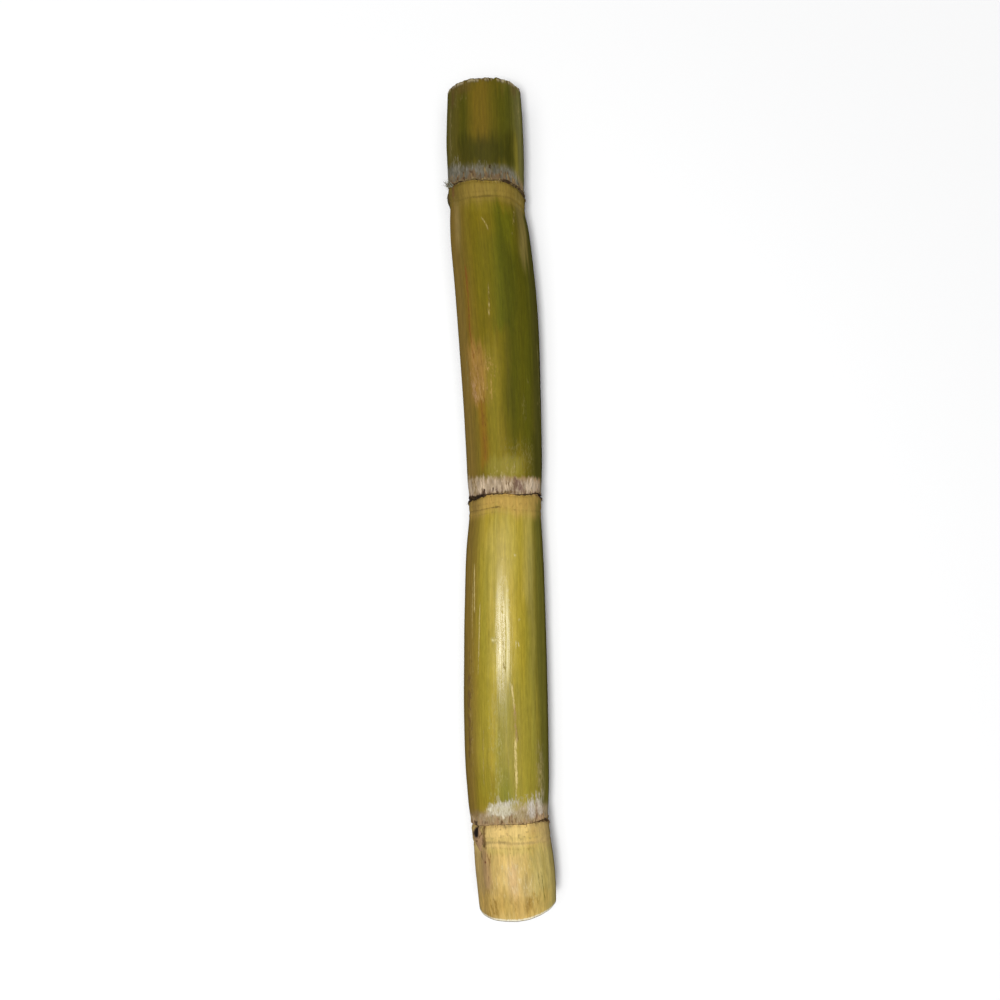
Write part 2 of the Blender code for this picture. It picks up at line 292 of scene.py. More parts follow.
def node_relief(node, at):
    """The height of a node's rings over the plain cane."""
    past = past_scar(node, at)
    ring = past_ring(node, at) / RING_HALF
    before = node.ridge * ease(1 + past / SCAR_LEAD)
    torn = bump((past + 1.4 * MM) / (1.6 * MM)) * (fibres(at.grain, 0.7, 1.6) - 0.4)
    lip = np.where(past < 0, before, node.ridge * ease(1 - past / SCAR_LIP))
    crevice = ease(past / (0.6 * SCAR_LIP)) * (1 - ease((past - 0.5 * MM) / CREVICE_WIDTH))
    swell = ease((past - CREVICE_WIDTH) / (1.5 * MM)) * ease((-0.2 - ring) / 1.5)
    roots = ROOT_HEIGHT * root_bumps(past, at.around) * ease(-1 - ring)
    grooves = 0.07 * bump(ring * 1.2) + 0.05 * bump((ring - 2.0) * 1.2)
    relief = lip + 0.22 * MM * torn - CREVICE_DEPTH * crevice + BAND_SWELL * swell + roots
    return relief + (0.12 * bump((ring - 1) / 1.4) - grooves) * MM


def furrow(distance, around):
    """How deep the groove is that runs from each bud towards the tip."""
    depth = 0.0
    for node in NODES:
        past_bud = distance - node.scar - BUD_START - BUD_LENGTH / 2
        across = turn_between(around, node.bud) * through_stations(distance, RADIUS)
        along = ease(past_bud / (BUD_LENGTH / 2)) * ease(1 - past_bud / FURROW_LENGTH)
        depth = depth + FURROW_DEPTH * along * np.exp(-((across / FURROW_WIDTH) ** 2))
    return depth


def skin_radius(distance, around):
    """The finished surface, with its rings, flutes and fine ribs."""
    at = places(distance, around)
    radius = through_stations(at.distance, RADIUS) - furrow(at.distance, at.around)
    for node in NODES:
        radius = radius + node_relief(node, at)
    for across, along, shift, height in RIND_RELIEF:
        radius += sway(at.grain, across, along, shift) * height * MM
    radius -= FLUTE_DEPTH * mark_cover(FLUTE, at)
    edge = np.minimum(at.distance, STALK_LENGTH - at.distance)
    return radius - CUT_EDGE * (1 - ease(edge / CUT_EDGE))


def cut_shift(distance, around):
    """How far the torn root-end edge stands out, and the sawn tip-end edge."""
    grain = straight(distance * 0, around)
    torn = sway(grain, 1.5, 9, 6) * 0.6 + sway(grain, 0.6, 9, 7) * 0.5
    sawn = sway(grain, 4, 9, 8) * 0.4
    root = torn * (1 - ease(distance / CUT_REACH))
    tip = sawn * (1 - ease((STALK_LENGTH - distance) / CUT_REACH))
    return (root + tip) * MM


def skin_point(distance, around, lift=0.0):
    """A place on the finished surface, or lift above it."""
    distance, around = np.broadcast_arrays(distance, around)
    shape = distance.shape
    distance, around = distance.ravel(), around.ravel()
    lift = np.broadcast_to(lift, shape).ravel()
    points = place(distance, around, skin_radius(distance, around) + lift)
    points[:, 1] += cut_shift(distance, around)
    points[:, 2] = np.maximum(points[:, 2], 0.0)
    return points.reshape(*shape, 3)


# The columns of points: how many on the side that the photograph shows, and how many below.
SEEN_COLUMNS, HIDDEN_COLUMNS = 156, 66
COLUMNS = SEEN_COLUMNS + HIDDEN_COLUMNS
SEEN_REACH = math.radians(100)
CAP_RINGS = 14
# The steps between rings, in millimetres, near the nodes and away from them.
FINE_STEP, COARSE_STEP = 0.37, 1.75
NODE_MIDDLE, NODE_REACH, NODE_FADE = 2 * MM, 8.5 * MM, 12 * MM
SHARP_ANGLE = math.radians(50)


def column_angles():
    """Directions of the columns of points, closer together on top."""
    top = np.linspace(-SEEN_REACH, SEEN_REACH, SEEN_COLUMNS, endpoint=False)
    under = np.linspace(SEEN_REACH, math.tau - SEEN_REACH, HIDDEN_COLUMNS, endpoint=False)
    return np.concatenate((top, under))


def ring_distances():
    """Distances of the rings of points, closer together at the nodes and the cuts."""
    rings = [0.0, 0.2 * MM, CUT_EDGE, 0.9 * MM]
    while rings[-1] < STALK_LENGTH - 3 * MM:
        here = rings[-1]
        near = min(abs(here - node.scar - NODE_MIDDLE) for node in NODES) - NODE_REACH
        rings.append(here + mix(FINE_STEP, COARSE_STEP, float(ease(near / NODE_FADE))) * MM)
    ends = (2.0, 1.6, 1.25, 0.9, 0.65, 0.4, 0.2, 0.0)
    return np.array(rings + [STALK_LENGTH - end * MM for end in ends])


# The rings of points of a cut face, as shares of its rim, and how far the pith has sunk.
CAP_SHARES = np.concatenate(([0.985, 0.96, 0.93], np.linspace(0.89, 0.06, CAP_RINGS - 3)))
PITH_SUNK = 0.5 * MM


def cap_points(rim, inwards):
    """A cut's points, from its rim to its middle. inwards is 1 or -1, the way into the cane."""
    flat = rim.copy()
    spots = np.column_stack((rim[:, [0, 2]], np.ones(len(rim))))
    flat[:, 1] = spots @ np.linalg.lstsq(spots, rim[:, 1], rcond=None)[0]
    centre = flat.mean(axis=0)
    rings = [centre + (mix(flat, rim, ease((s - 0.86) / 0.14)) - centre) * s for s in CAP_SHARES]
    for ring, share in zip(rings, CAP_SHARES):
        sunk = PITH_SUNK * ease((0.97 - share) / 0.25)
        rough = sway(ring, 3.2, 50, 3) * 0.3 * MM
        saw = (noise(ring, (40, 50, 2.8), 5) - 0.5) * 0.2 * MM
        ring[:, 1] += inwards * (sunk + rough + saw)
    return rings, centre + (0, inwards * PITH_SUNK, 0)


def ring_faces(first, second):
    """Faces between two rings of COLUMNS points, given the index where each ring starts."""
    column = np.arange(COLUMNS)
    onward = (column + 1) % COLUMNS
    return np.stack((first + column, second + column, second + onward, first + onward), axis=1)


def add_object(name, data):
    made = bpy.data.objects.new(name, data)
    bpy.context.scene.collection.objects.link(made)
    return made


def add_mesh(name, points, faces):
    mesh = bpy.data.meshes.new(name)
    mesh.from_pydata(points.tolist(), [], [tuple(map(int, face)) for face in faces])
    mesh.validate()
    return add_object(name, mesh)


def finish_mesh(mesh, *materials):
    for material in materials:
        mesh.materials.append(material)
    mesh.shade_smooth()
    mesh.set_sharp_from_angle(angle=SHARP_ANGLE)


def write_attribute(mesh, name, kind, values):
    field = {"FLOAT_VECTOR": "vector", "FLOAT_COLOR": "color", "FLOAT": "value"}[kind]
    made = mesh.attributes.new(name, kind, "POINT")
    made.data.foreach_set(field, np.ascontiguousarray(values, np.float32).ravel())


def linear(rgb):
    """A colour as the eye reads it, 0 to 255, turned into one for light."""
    share = np.array(rgb, float) / 255
    return np.where(share <= 0.04045, share / 12.92, ((share + 0.055) / 1.055) ** 2.4)


# The palette, as the eye sees these colours under the studio light.
ROOT_OLIVE = (98, 87, 12)
DEEP_OLIVE = (70, 66, 8)
OLIVE = (119, 104, 10)
LEAF_GREEN = (92, 94, 6)
FRESH_GREEN = (116, 120, 0)
DEEP_GREEN = (76, 76, 4)
SHADE_GREEN = (66, 64, 20)
GREY_GREEN = (100, 96, 50)
YELLOW_OLIVE = (142, 126, 34)
# The right flanks' olive: the rind's own tint, darkened with painted shade.
SHADED_SIDE_OLIVE = (92, 88, 32)
SIDE_BROWN = (124, 100, 44)
SCAR_GOLD = (145, 122, 50)
AMBER = (140, 104, 26)
RUST = (120, 86, 32)
BRONZE = (122, 98, 20)
GOLD = (175, 154, 50)
LIME_GOLD = (152, 139, 44)
PALE_GOLD = (200, 180, 92)
RING_GOLD = (191, 157, 78)
TIP_GOLD = (212, 180, 106)
TIP_SIDE = (160, 134, 82)
PALE_BAND = (228, 196, 122)
TAN = (170, 148, 96)
PINK_TAN = (170, 136, 98)
BROWN = (104, 78, 42)
DARK_BROWN = (58, 38, 20)
BLACK_BROWN = (30, 20, 12)
RED_BROWN = (112, 64, 44)
ORANGE_RUST = (150, 98, 38)
SCUFF = (176, 134, 84)
DULL_TAN = (138, 114, 84)
MAUVE = (122, 94, 82)
STRAW = (200, 178, 116)
CREAM = (236, 220, 172)
WAX_GREY = (113, 110, 103)
WAX_WHITE = (192, 172, 146)
WAX_LILAC = (204, 196, 186)
WAX_CREAM = (214, 206, 180)
RIM_CREAM = (244, 236, 208)
GLINT = (236, 222, 156)
SCRATCH = (224, 202, 134)
# A grey-olive bloom of wax, also used for a painted highlight along the right rim.
HAZE_AND_RIM_HIGHLIGHT = (134, 122, 76)
DULL_OLIVE = (88, 80, 30)
DARK_OLIVE = (60, 58, 6)
BAND_OLIVE = (122, 107, 56)
DRY_OLIVE = (150, 137, 52)
RIPE_OLIVE = (134, 120, 24)
SCUFF_BASE = (168, 127, 62)
TIP_LIME = (190, 170, 88)
WAX_STREAK = (150, 143, 124)
SCUFF_PALE = (186, 150, 84)
FRINGE_BROWN = (124, 100, 70)
# The olive of painted shade in the flute's groove.
GROOVE_SHADE_OLIVE = (146, 130, 60)
VEIL_OLIVE = (140, 130, 68)
TIP_KHAKI = (188, 170, 102)
RIM_BEIGE = (172, 158, 122)
RED_RUST = (126, 78, 32)
PALE_LEAF = (178, 168, 100)
TIP_OLIVE = (174, 156, 90)
TIP_PINK = (216, 180, 130)

# The stretches of cane between the leaf scars, from the root end: the colours on top and on either
# side, and how glossy the rind is. The side colours are the rind's own tint with painted shade,
# darker than the top.
Stretch = namedtuple("Stretch", "top left right gloss")
STRETCHES = (
    Stretch(ROOT_OLIVE, DULL_OLIVE, GREY_GREEN, 0.2),
    Stretch(OLIVE, SIDE_BROWN, SHADE_GREEN, 0.15),
    Stretch(GOLD, SIDE_BROWN, SHADED_SIDE_OLIVE, 0.6),
    Stretch(TIP_GOLD, TIP_SIDE, TIP_OLIVE, 0.5),
)
ROOT_BANDS = {"root": SCAR_GOLD, "middle": RING_GOLD, "tip": PALE_BAND}

# One mark: its colour, the photograph's pixels where it starts and ends, its width in pixels, how
# much it covers, and over how many pixels its ends fade.
Mark = namedtuple("Mark", "colour start end width cover fade")


def marks(*rows):
    return [Mark(colour, (x0, y0), (x1, y1), *rest) for colour, x0, y0, x1, y1, *rest in rows]


PAINT_MARKS = marks(
    # the stretch at the root-end cut
    (BRONZE, 479, 76, 480, 142, 16, 0.8, 18),
    (DEEP_GREEN, 463, 96, 463, 140, 9, 0.6, 12),
    (DEEP_GREEN, 505, 90, 506, 160, 20, 0.7, 14),
    (DEEP_OLIVE, 508, 132, 509, 162, 22, 0.7, 10),
    (BROWN, 453, 86, 453, 106, 6, 0.5, 8),
    (HAZE_AND_RIM_HIGHLIGHT, 450.5, 105, 451, 160, 2.4, 0.35, 20),
    (BROWN, 464, 80, 463, 92, 18, 0.4, 5),
    (BROWN, 514, 86, 514, 95, 10, 0.4, 5),
    (DARK_OLIVE, 484, 138, 486, 164, 56, 0.75, 16),
    (YELLOW_OLIVE, 516, 140, 517, 180, 6, 0.4, 18),
    # the first full internode
    (YELLOW_OLIVE, 490, 202, 490, 212, 50, 0.35, 6),
    (LEAF_GREEN, 502, 206, 505, 330, 20, 0.8, 16),
    (LEAF_GREEN, 488, 238, 490, 300, 22, 0.25, 20),
    (DEEP_GREEN, 506, 235, 513, 425, 18, 0.45, 40),
    (DEEP_GREEN, 516, 245, 522, 450, 28, 0.7, 34),
    (BAND_OLIVE, 519, 200, 525, 262, 12, 0.8, 26),
    (TAN, 456, 200, 459, 250, 9, 0.3, 24),
    # painted shade along the right flank above the middle node
    (DARK_OLIVE, 534, 436, 537, 478, 9, 0.5, 14),
    (AMBER, 465, 270, 472, 352, 7, 0.5, 16),
    (SCUFF_BASE, 474, 344, 482, 404, 20, 0.75, 14),
    (AMBER, 482, 396, 485, 468, 9, 0.85, 12),
    (YELLOW_OLIVE, 491, 345, 496, 470, 13, 0.7, 26),
    (DRY_OLIVE, 505, 456, 505, 478, 34, 0.8, 9),
    # the second full internode
    # painted sheen down the middle and painted highlight streaks, where the lamp's highlight falls
    (PALE_GOLD, 500, 520, 500, 680, 30, 0.5, 40),
    (GLINT, 499, 596, 499.5, 672, 4, 0.35, 24),
    (GLINT, 504, 600, 504, 672, 1.2, 0.35, 20),
    (GLINT, 507, 584, 507.5, 688, 1.5, 0.5, 20),
    (PALE_GOLD, 527, 512, 528, 600, 10, 0.45, 18),
    (VEIL_OLIVE, 530, 540, 531, 750, 9, 0.55, 30),
    # painted shade down the right flank
    (SHADED_SIDE_OLIVE, 539, 545, 540, 700, 13, 0.5, 30),
    (DRY_OLIVE, 521, 680, 523, 812, 36, 0.75, 30),
    (RIPE_OLIVE, 485, 770, 486, 812, 22, 0.6, 16),
    (LIME_GOLD, 485, 545, 486, 800, 13, 0.6, 24),
    (LIME_GOLD, 504, 700, 505, 806, 13, 0.7, 24),
    (YELLOW_OLIVE, 501, 775, 501, 806, 14, 0.4, 12),
    (LIME_GOLD, 499, 735, 501, 796, 8, 0.5, 12),
    (FRESH_GREEN, 506, 772, 507, 808, 10, 0.35, 16),
    (FRESH_GREEN, 503, 786, 504, 808, 18, 0.25, 10),
    (LIME_GOLD, 525, 620, 528, 800, 16, 0.5, 24),
    (GREY_GREEN, 541, 755, 543, 806, 10, 0.5, 14),
    # the root bands
    (BROWN, 474, 499, 475, 513, 8, 0.35, 4),
    # painted shade on the right flank of the middle root band
    (SHADED_SIDE_OLIVE, 538, 501, 538.5, 530, 13, 0.7, 9),
    (RING_GOLD, 530, 828, 531, 884, 12, 0.45, 8),
    (TIP_LIME, 516, 846, 516, 854, 66, 0.5, 4),
    (TIP_LIME, 514, 836, 514, 841, 60, 0.3, 3),
    # the bare rind under the wax of the second and third nodes
    (PINK_TAN, 505, 477, 505, 494, 90, 0.7, 4),
    (DULL_TAN, 510, 811, 510, 826, 90, 0.6, 5),
    # the short stretch at the tip-end cut
    (PINK_TAN, 483, 850, 488, 888, 11, 0.7, 8),
    (PALE_BAND, 508, 862, 508, 888, 14, 0.5, 8),
    (TAN, 526, 876, 527, 904, 9, 0.5, 8),
    (TIP_KHAKI, 535, 850, 540, 904, 20, 0.65, 10),
    (YELLOW_OLIVE, 542, 850, 546, 900, 6, 0.25, 10),
    (TIP_PINK, 511, 866, 513, 900, 10, 0.6, 8),
    (LIME_GOLD, 531, 845, 533, 872, 8, 0.15, 10),
    (RING_GOLD, 503, 888, 506, 915, 16, 0.6, 8),
    (RING_GOLD, 512, 899, 512, 918, 90, 0.5, 8),
    (AMBER, 529, 899, 531, 912, 9, 0.3, 6),
)
FILM_MARKS = marks(
    (STRAW, 481, 217, 489, 228, 1.5, 0.75, 1),
    (TAN, 514, 211, 513, 224, 1.7, 0.65, 3),
    (TAN, 485, 226, 488, 229, 1.5, 0.6, 1),
    (TAN, 511.5, 231, 511.5, 234, 4, 0.3, 1),
    (TAN, 488.5, 284, 489, 318, 1.5, 0.6, 6),
    (STRAW, 489, 302, 489, 314, 1.6, 0.5, 3),
    (HAZE_AND_RIM_HIGHLIGHT, 466.5, 356, 468.5, 394, 2.6, 0.55, 10),
    (DULL_TAN, 517, 173, 523, 194, 7, 0.55, 8),
    # a painted highlight along the right rim
    (HAZE_AND_RIM_HIGHLIGHT, 537, 340, 540.5, 420, 1.1, 0.8, 14),
    (STRAW, 521, 386, 521, 388, 2, 0.9, 1),
    (HAZE_AND_RIM_HIGHLIGHT, 527, 378, 528, 384, 1.6, 0.6, 2),
    (HAZE_AND_RIM_HIGHLIGHT, 538, 401, 538, 404, 1.8, 0.8, 1),
    (HAZE_AND_RIM_HIGHLIGHT, 524, 396, 525, 420, 5, 0.3, 8),
    (HAZE_AND_RIM_HIGHLIGHT, 518, 440, 519, 474, 34, 0.3, 14),
    (CREAM, 515, 554, 515, 556, 2, 0.5, 1),
    (CREAM, 519, 619, 519, 621, 2, 0.7, 1),
    (GLINT, 493.5, 638.5, 493.5, 641, 6, 1, 1),
    (CREAM, 516, 642, 516, 647, 1.2, 0.7, 1),
    (CREAM, 518.5, 642, 518.5, 647, 1.2, 0.7, 1),
    (STRAW, 474.5, 566, 474.5, 612, 1.7, 1, 8),
    (STRAW, 472.5, 580, 472, 640, 1.1, 0.8, 10),
    (STRAW, 480, 604, 478, 676, 1.2, 1, 8),
    (TAN, 483.5, 730, 484, 786, 1.2, 0.6, 8),
    (PALE_LEAF, 500, 735, 500, 790, 3.5, 0.35, 10),
    (SCRATCH, 511.5, 684, 514.5, 709, 1.7, 1, 3),
    (PINK_TAN, 514.5, 706, 516.5, 742, 2.2, 0.9, 4),
    (SCRATCH, 515.5, 738, 516.5, 784, 2.4, 1, 5),
    (SCRATCH, 516.5, 780, 516.5, 796, 1.6, 0.7, 4),
    (TAN, 540, 762, 541, 802, 12, 0.35, 10),
    (WAX_CREAM, 500, 803, 500, 816, 23, 0.95, 3),
    (RIM_CREAM, 489, 808, 489, 811, 5, 0.7, 1.5),
    (WAX_LILAC, 531, 799, 531, 818, 10, 0.75, 6),
    (WAX_LILAC, 540, 798, 540, 816, 8, 0.7, 6),
    (WAX_WHITE, 521, 800, 521, 812, 8, 0.45, 6),
    (WAX_LILAC, 531, 477, 531, 489, 12, 0.12, 5),
    (RIM_CREAM, 502.5, 816, 502.5, 819, 4, 0.7, 1.5),
)
# Marks that are broken up into short strokes, light ones and dark ones.
LIGHT_STROKES = marks(
    (SCUFF_PALE, 487, 356, 490, 396, 12, 0.5, 14),
    (SCUFF, 475, 350, 480, 402, 18, 0.5, 14),
    (PINK_TAN, 473, 372, 477, 400, 9, 0.55, 10),
    (SCUFF_PALE, 482, 382, 483, 402, 8, 0.6, 8),
    (STRAW, 502, 466, 502, 478, 30, 0.35, 6),
    (TAN, 471, 640, 472, 770, 8, 0.3, 20),
    # painted highlight at the two ends of the lamp's highlight
    (CREAM, 504, 560, 506, 606, 6, 0.45, 12),
    (CREAM, 500, 672, 503, 700, 6, 0.4, 12),
    (HAZE_AND_RIM_HIGHLIGHT, 540, 740, 542, 806, 14, 0.6, 20),
    (WAX_STREAK, 455, 155, 455, 182, 18, 0.4, 8),
    (TAN, 451.5, 92, 452, 160, 4, 0.3, 14),
    (TAN, 460, 86, 461, 108, 16, 0.3, 8),
    (TAN, 517, 96, 519, 130, 6, 0.3, 12),
    (WAX_STREAK, 490, 163, 490, 174, 70, 0.3, 6),
    (PALE_LEAF, 497, 690, 499, 800, 16, 0.4, 24),
    (CREAM, 512, 862, 512, 896, 44, 0.4, 12),
    (CREAM, 531, 878, 533, 906, 12, 0.25, 8),
    (WAX_LILAC, 506, 796, 506, 806, 26, 0.5, 5),
    (WAX_LILAC, 535, 792, 535, 803, 22, 0.5, 5),
)
DARK_STROKES = marks(
    (RUST, 474, 344, 480, 404, 20, 0.4, 12),
    (RUST, 484, 400, 486, 470, 6, 0.5, 14),
    (RUST, 467, 270, 473, 345, 6, 0.35, 14),
    (BROWN, 470, 648, 471, 770, 10, 0.65, 20),
    (RED_BROWN, 486, 848, 490, 884, 8, 0.4, 10),
    (AMBER, 490, 893, 493, 918, 14, 0.4, 8),
    (AMBER, 510, 896, 511, 920, 60, 0.3, 8),
    (AMBER, 534, 892, 536, 908, 16, 0.3, 6),
    (AMBER, 508, 846, 508, 864, 50, 0.25, 8),
)
STAIN_MARKS = marks(
    (ORANGE_RUST, 481, 398, 486, 466, 1.4, 0.5, 10),
    (RED_RUST, 463, 246, 467, 290, 1.5, 0.45, 12),
    (RED_RUST, 466, 270, 470.5, 338, 1.7, 0.7, 8),
    (ORANGE_RUST, 470, 328, 474, 362, 1.5, 0.5, 8),
    # painted shade in the flute's groove, parting the highlight
    (GROOVE_SHADE_OLIVE, 502.5, 604, 503.5, 666, 0.9, 0.5, 10),
    (GROOVE_SHADE_OLIVE, 505.2, 610, 505.7, 676, 0.9, 0.5, 10),
    (BROWN, 513.8, 700, 518.5, 742, 0.9, 0.5, 6),
    (BROWN, 513.6, 742, 514.2, 784, 0.8, 0.4, 6),
    (BROWN, 504, 664, 504.5, 670, 1.6, 0.6, 2),
    (SIDE_BROWN, 474, 477, 475, 495, 8, 0.5, 4),
    # painted shade on the right flank of the middle wax band
    (SHADED_SIDE_OLIVE, 541, 476, 541, 492, 8, 0.55, 4),
    (BROWN, 512, 478, 513, 491, 15, 0.35, 5),
    (MAUVE, 536.5, 803, 537, 818, 2.4, 0.5, 4),
    (BROWN, 542.5, 802, 543, 816, 2, 0.5, 4),
    (BROWN, 504.5, 800, 504.5, 807, 1, 0.5, 2),
    (BROWN, 471.5, 475, 472, 486, 3, 0.5, 3),
    (SIDE_BROWN, 505, 491.5, 505, 493, 34, 0.4, 1.5),
    (DARK_BROWN, 489.5, 164.5, 489.5, 168.5, 1.6, 0.9, 1),
    (DARK_BROWN, 498, 212, 498, 213, 1.8, 0.5, 1),
    (DARK_BROWN, 461, 223.5, 461, 224.5, 2, 0.7, 1),
    (DARK_BROWN, 506, 617, 506, 619, 2.4, 0.7, 1),
    (DARK_BROWN, 472, 643, 472, 645, 2.2, 0.6, 1),
    (MAUVE, 517, 478, 519, 492, 9, 0.65, 5),
    (DARK_BROWN, 538.5, 483, 538.5, 488, 1.6, 0.7, 1.5),
    (DARK_BROWN, 494.5, 901.5, 494.5, 903, 2, 0.7, 1),
    (DARK_BROWN, 510, 852.5, 510, 853.5, 1.8, 0.5, 1),
    (RED_BROWN, 485, 861, 485, 863.5, 3, 0.8, 1.5),
    (RED_BROWN, 489, 859, 489, 861, 2.4, 0.7, 1.5),
    # thin dark lines on the tip-end stretch's right flank, in the olive with painted shade
    (SHADED_SIDE_OLIVE, 541, 872, 545, 900, 1.2, 0.7, 4),
    (SHADED_SIDE_OLIVE, 537.5, 868, 540, 888, 1, 0.6, 4),
    (RED_BROWN, 453, 183, 454, 198, 7, 0.45, 5),
    (DARK_BROWN, 484, 494, 484.5, 489, 1.8, 0.9, 1),
    (DARK_BROWN, 493, 492, 493, 487, 1.4, 0.8, 1),
    (DARK_BROWN, 543.5, 818, 542, 822, 3.4, 0.95, 1),
    (BLACK_BROWN, 476, 821, 478, 833, 4.5, 0.95, 2),
    (BROWN, 483.5, 825, 485, 848, 4, 0.75, 3),
    # painted shade in the creases beside the tip node's bud
    (DARK_BROWN, 479.5, 845, 481.5, 860, 2, 0.7, 3),
    (DARK_BROWN, 484, 842, 484, 847, 3, 0.7, 2),
    # painted shade at the right end of the tip node's growth ring
    (BROWN, 544, 841, 544, 845, 6, 0.4, 2),
    (BROWN, 499, 841.5, 499, 843, 22, 0.15, 1.5),
)

# A shallow flute that parts the highlight on the second internode, and where the rind is polished.
FLUTE, POLISH = marks(
    (None, 503, 570, 504.5, 705, 8, 1, 40),
    (None, 502, 575, 503, 700, 60, 1, 60),
)
FLUTE_DEPTH = 0.17 * MM
# Marks stray sideways by a share of their width, up to some pixels. Their sides are soft over
# these widths, and their ends are ragged by a share of their fade.
STRAY_SHARE, STRAY_LIMIT, RAGGED_SHARE = 0.3, 2.5, 1.2
LEAST_SOFT, MOST_SOFT, SHORTEST_MARK = 0.35 * MM, 6 * MM, 0.01 * MM


def mark_cover(mark, at):
    """How much the mark covers each place: a soft streak from its start to its end."""
    (first, first_turn), (last, last_turn) = sorted((seen(*mark.start), seen(*mark.end)))
    span = max(last - first, SHORTEST_MARK)
    share = np.clip((at.distance - first) / span, 0, 1)
    middle = mix(first_turn, last_turn, share)
    stray = sway(at.grain, 60, 9, 12) * min(mark.width * STRAY_SHARE, STRAY_LIMIT) * PIXEL
    radius = through_stations(at.distance, RADIUS)
    across = np.abs(turn_between(at.around, middle) * radius + stray)
    half = mark.width / 2 * PIXEL
    soft = max(LEAST_SOFT, min(1.5 * half, MOST_SOFT))
    fade = mark.fade * PIXEL
    ragged = sway(at.grain, 0.9, 60, 13) * RAGGED_SHARE * fade
    along = np.minimum(at.distance - first, last - at.distance) + ragged
    return mark.cover * ease((half - across) / soft + 0.5) * ease(along / fade + 0.5)


def lay(layer, cover, colour):
    """Puts a colour over a layer of rows r, g, b and how much they cover."""
    cover = np.clip(cover, 0, 1)
    left = layer[:, 3] * (1 - cover)
    total = np.maximum(cover + left, 1e-6)
    layer[:, :3] = (layer[:, :3] * left[:, None] + linear(colour) * cover[:, None]) / total[:, None]
    layer[:, 3] = cover + left


def lay_marks(layer, rows, at, strength=1.0):
    for mark in rows:
        lay(layer, strength * mark_cover(mark, at), mark.colour)


def sides(around):
    """How far each place has turned to the left and to the right, where the top still sees it."""
    turn = turn_between(around, 0.0)
    in_sight = 1 - hidden_share(around, math.radians(80), math.radians(25))
    return ease((-turn - 0.3) / 0.8) * in_sight, ease((turn - 0.3) / 0.75) * in_sight


# How much the colours of the sides cover, and the root bands' look beside their own colour: how
# much their flanks are darkened as painted shade, and how glossy they are.
STRETCH_FADE = 2 * MM
SIDE_COVER, BAND_SIDE_COVER, BAND_SIDE_SHADE, BAND_GLOSS = 0.95, 0.8, 0.68, 0.15


def base_paint(at):
    """The colour of the bare rind, and how glossy it is, stretch by stretch. Its flanks take darker
    colours: the rind's own tint with painted shade.
    """
    paint, gloss = np.ones((len(at.distance), 4)), np.zeros(len(at.distance))
    left, right = sides(at.around)
    starts = [-1.0] + [node.scar for node in NODES]
    for start, stretch in zip(starts, STRETCHES):
        here = ease((at.distance - start) / STRETCH_FADE)
        lay(paint, here, stretch.top)
        # the side colours: tint with painted shade on the flanks
        lay(paint, SIDE_COVER * here * left, stretch.left)
        lay(paint, SIDE_COVER * here * right, stretch.right)
        gloss = mix(gloss, stretch.gloss, here)
    for node in NODES:
        past, ring = past_scar(node, at) / MM, past_ring(node, at) / MM
        band = ease(past + 1) * ease(0.75 - ring / 7 + 0.5 * sway(at.grain, 1.5, 60, 27))
        colour = ROOT_BANDS[node.name]
        lay(paint, band, colour)
        # painted shade on the root bands' flanks
        lay(paint, BAND_SIDE_COVER * band * (left + right), BAND_SIDE_SHADE * np.array(colour))
        gloss = mix(gloss, BAND_GLOSS, band)
    return paint, mix(gloss, 1.0, mark_cover(POLISH, at))


# A wax band: where it starts, its colour, how much it covers, how far it reaches from the scar
# where the photograph doesn't show it, how much of it is film, how flecked and how ragged it is.
WaxBand = namedtuple("WaxBand", "top colour cover reach film flecks teeth")
WAX_BANDS = {
    "root": WaxBand(
        ((452, 162), (460, 162), (470, 162), (490, 162), (503, 162), (514, 168), (521, 184)),
        WAX_GREY, cover=0.9, reach=10 * MM, film=0.6, flecks=0.15, teeth=0.15
    ),
    "middle": WaxBand(
        ((468, 476), (480, 474), (500, 473.5), (515, 475), (528, 475), (540, 478)),
        WAX_WHITE, cover=0.9, reach=9 * MM, film=0.9, flecks=0.55, teeth=0.8
    ),
    "tip": WaxBand(
        ((476, 815), (486, 806), (490, 800), (512, 800), (520, 802), (528, 799), (546, 799)),
        WAX_WHITE, cover=0.5, reach=10 * MM, film=0.9, flecks=0.5, teeth=0.5
    ),
}
WAX_WANDER, WAX_FADE = 1.6 * MM, 4 * MM

# The torn tissue along each leaf scar: its colour, how wide it is, and how much it covers.
FRINGES = {
    "root": (FRINGE_BROWN, 5 * MM, 0.75),
    "middle": (MAUVE, 3.2 * MM, 0.45),
    "tip": (PINK_TAN, 5 * MM, 0.6),
}
SCAR_LINE_HALF, SCAR_LINE_LEAST, SCAR_LINE_SOFT = 0.42, 0.12 * MM, 0.35 * MM
SCAR_LINE_MIDDLE = 0.1 * MM

# How mottled the root band is.
MOTTLES = {"root": 0.12, "middle": 0.35, "tip": 0.5}

# How thick and how dark the scar's line is, by the photograph's column.
SCAR_WEIGHTS = {
    "root": ((452, 0.35), (470, 0.2), (489, 0.15), (499, 0.3), (505, 1.2), (515, 1.0), (523, 1.3)),
    "middle": ((470, 2.4), (478, 2.0), (484, 1.4), (490, 0.6), (499, 0.4), (507, 0.1), (514, 0.1),
               (518, 0.6), (526, 0.6), (536, 0.4), (541, 0.2)),
    "tip": ((484, 0.2), (504, 0.12), (522, 0.12), (536, 0.3), (544, 1.6)),
}

# How dark the fine crack along the growth ring is, by the photograph's column.
RING_WEIGHTS = {
    "root": ((458, 0.75), (480, 0.75), (500, 0.8), (512, 0.9), (520, 0.9)),
    "middle": ((471, 0.8), (498, 0.7), (502, 0.15), (515, 0.3), (540, 0.35)),
    "tip": ((488, 0.75), (500, 0.8), (515, 0.65), (535, 0.75), (541, 0.9), (546, 1)),
}
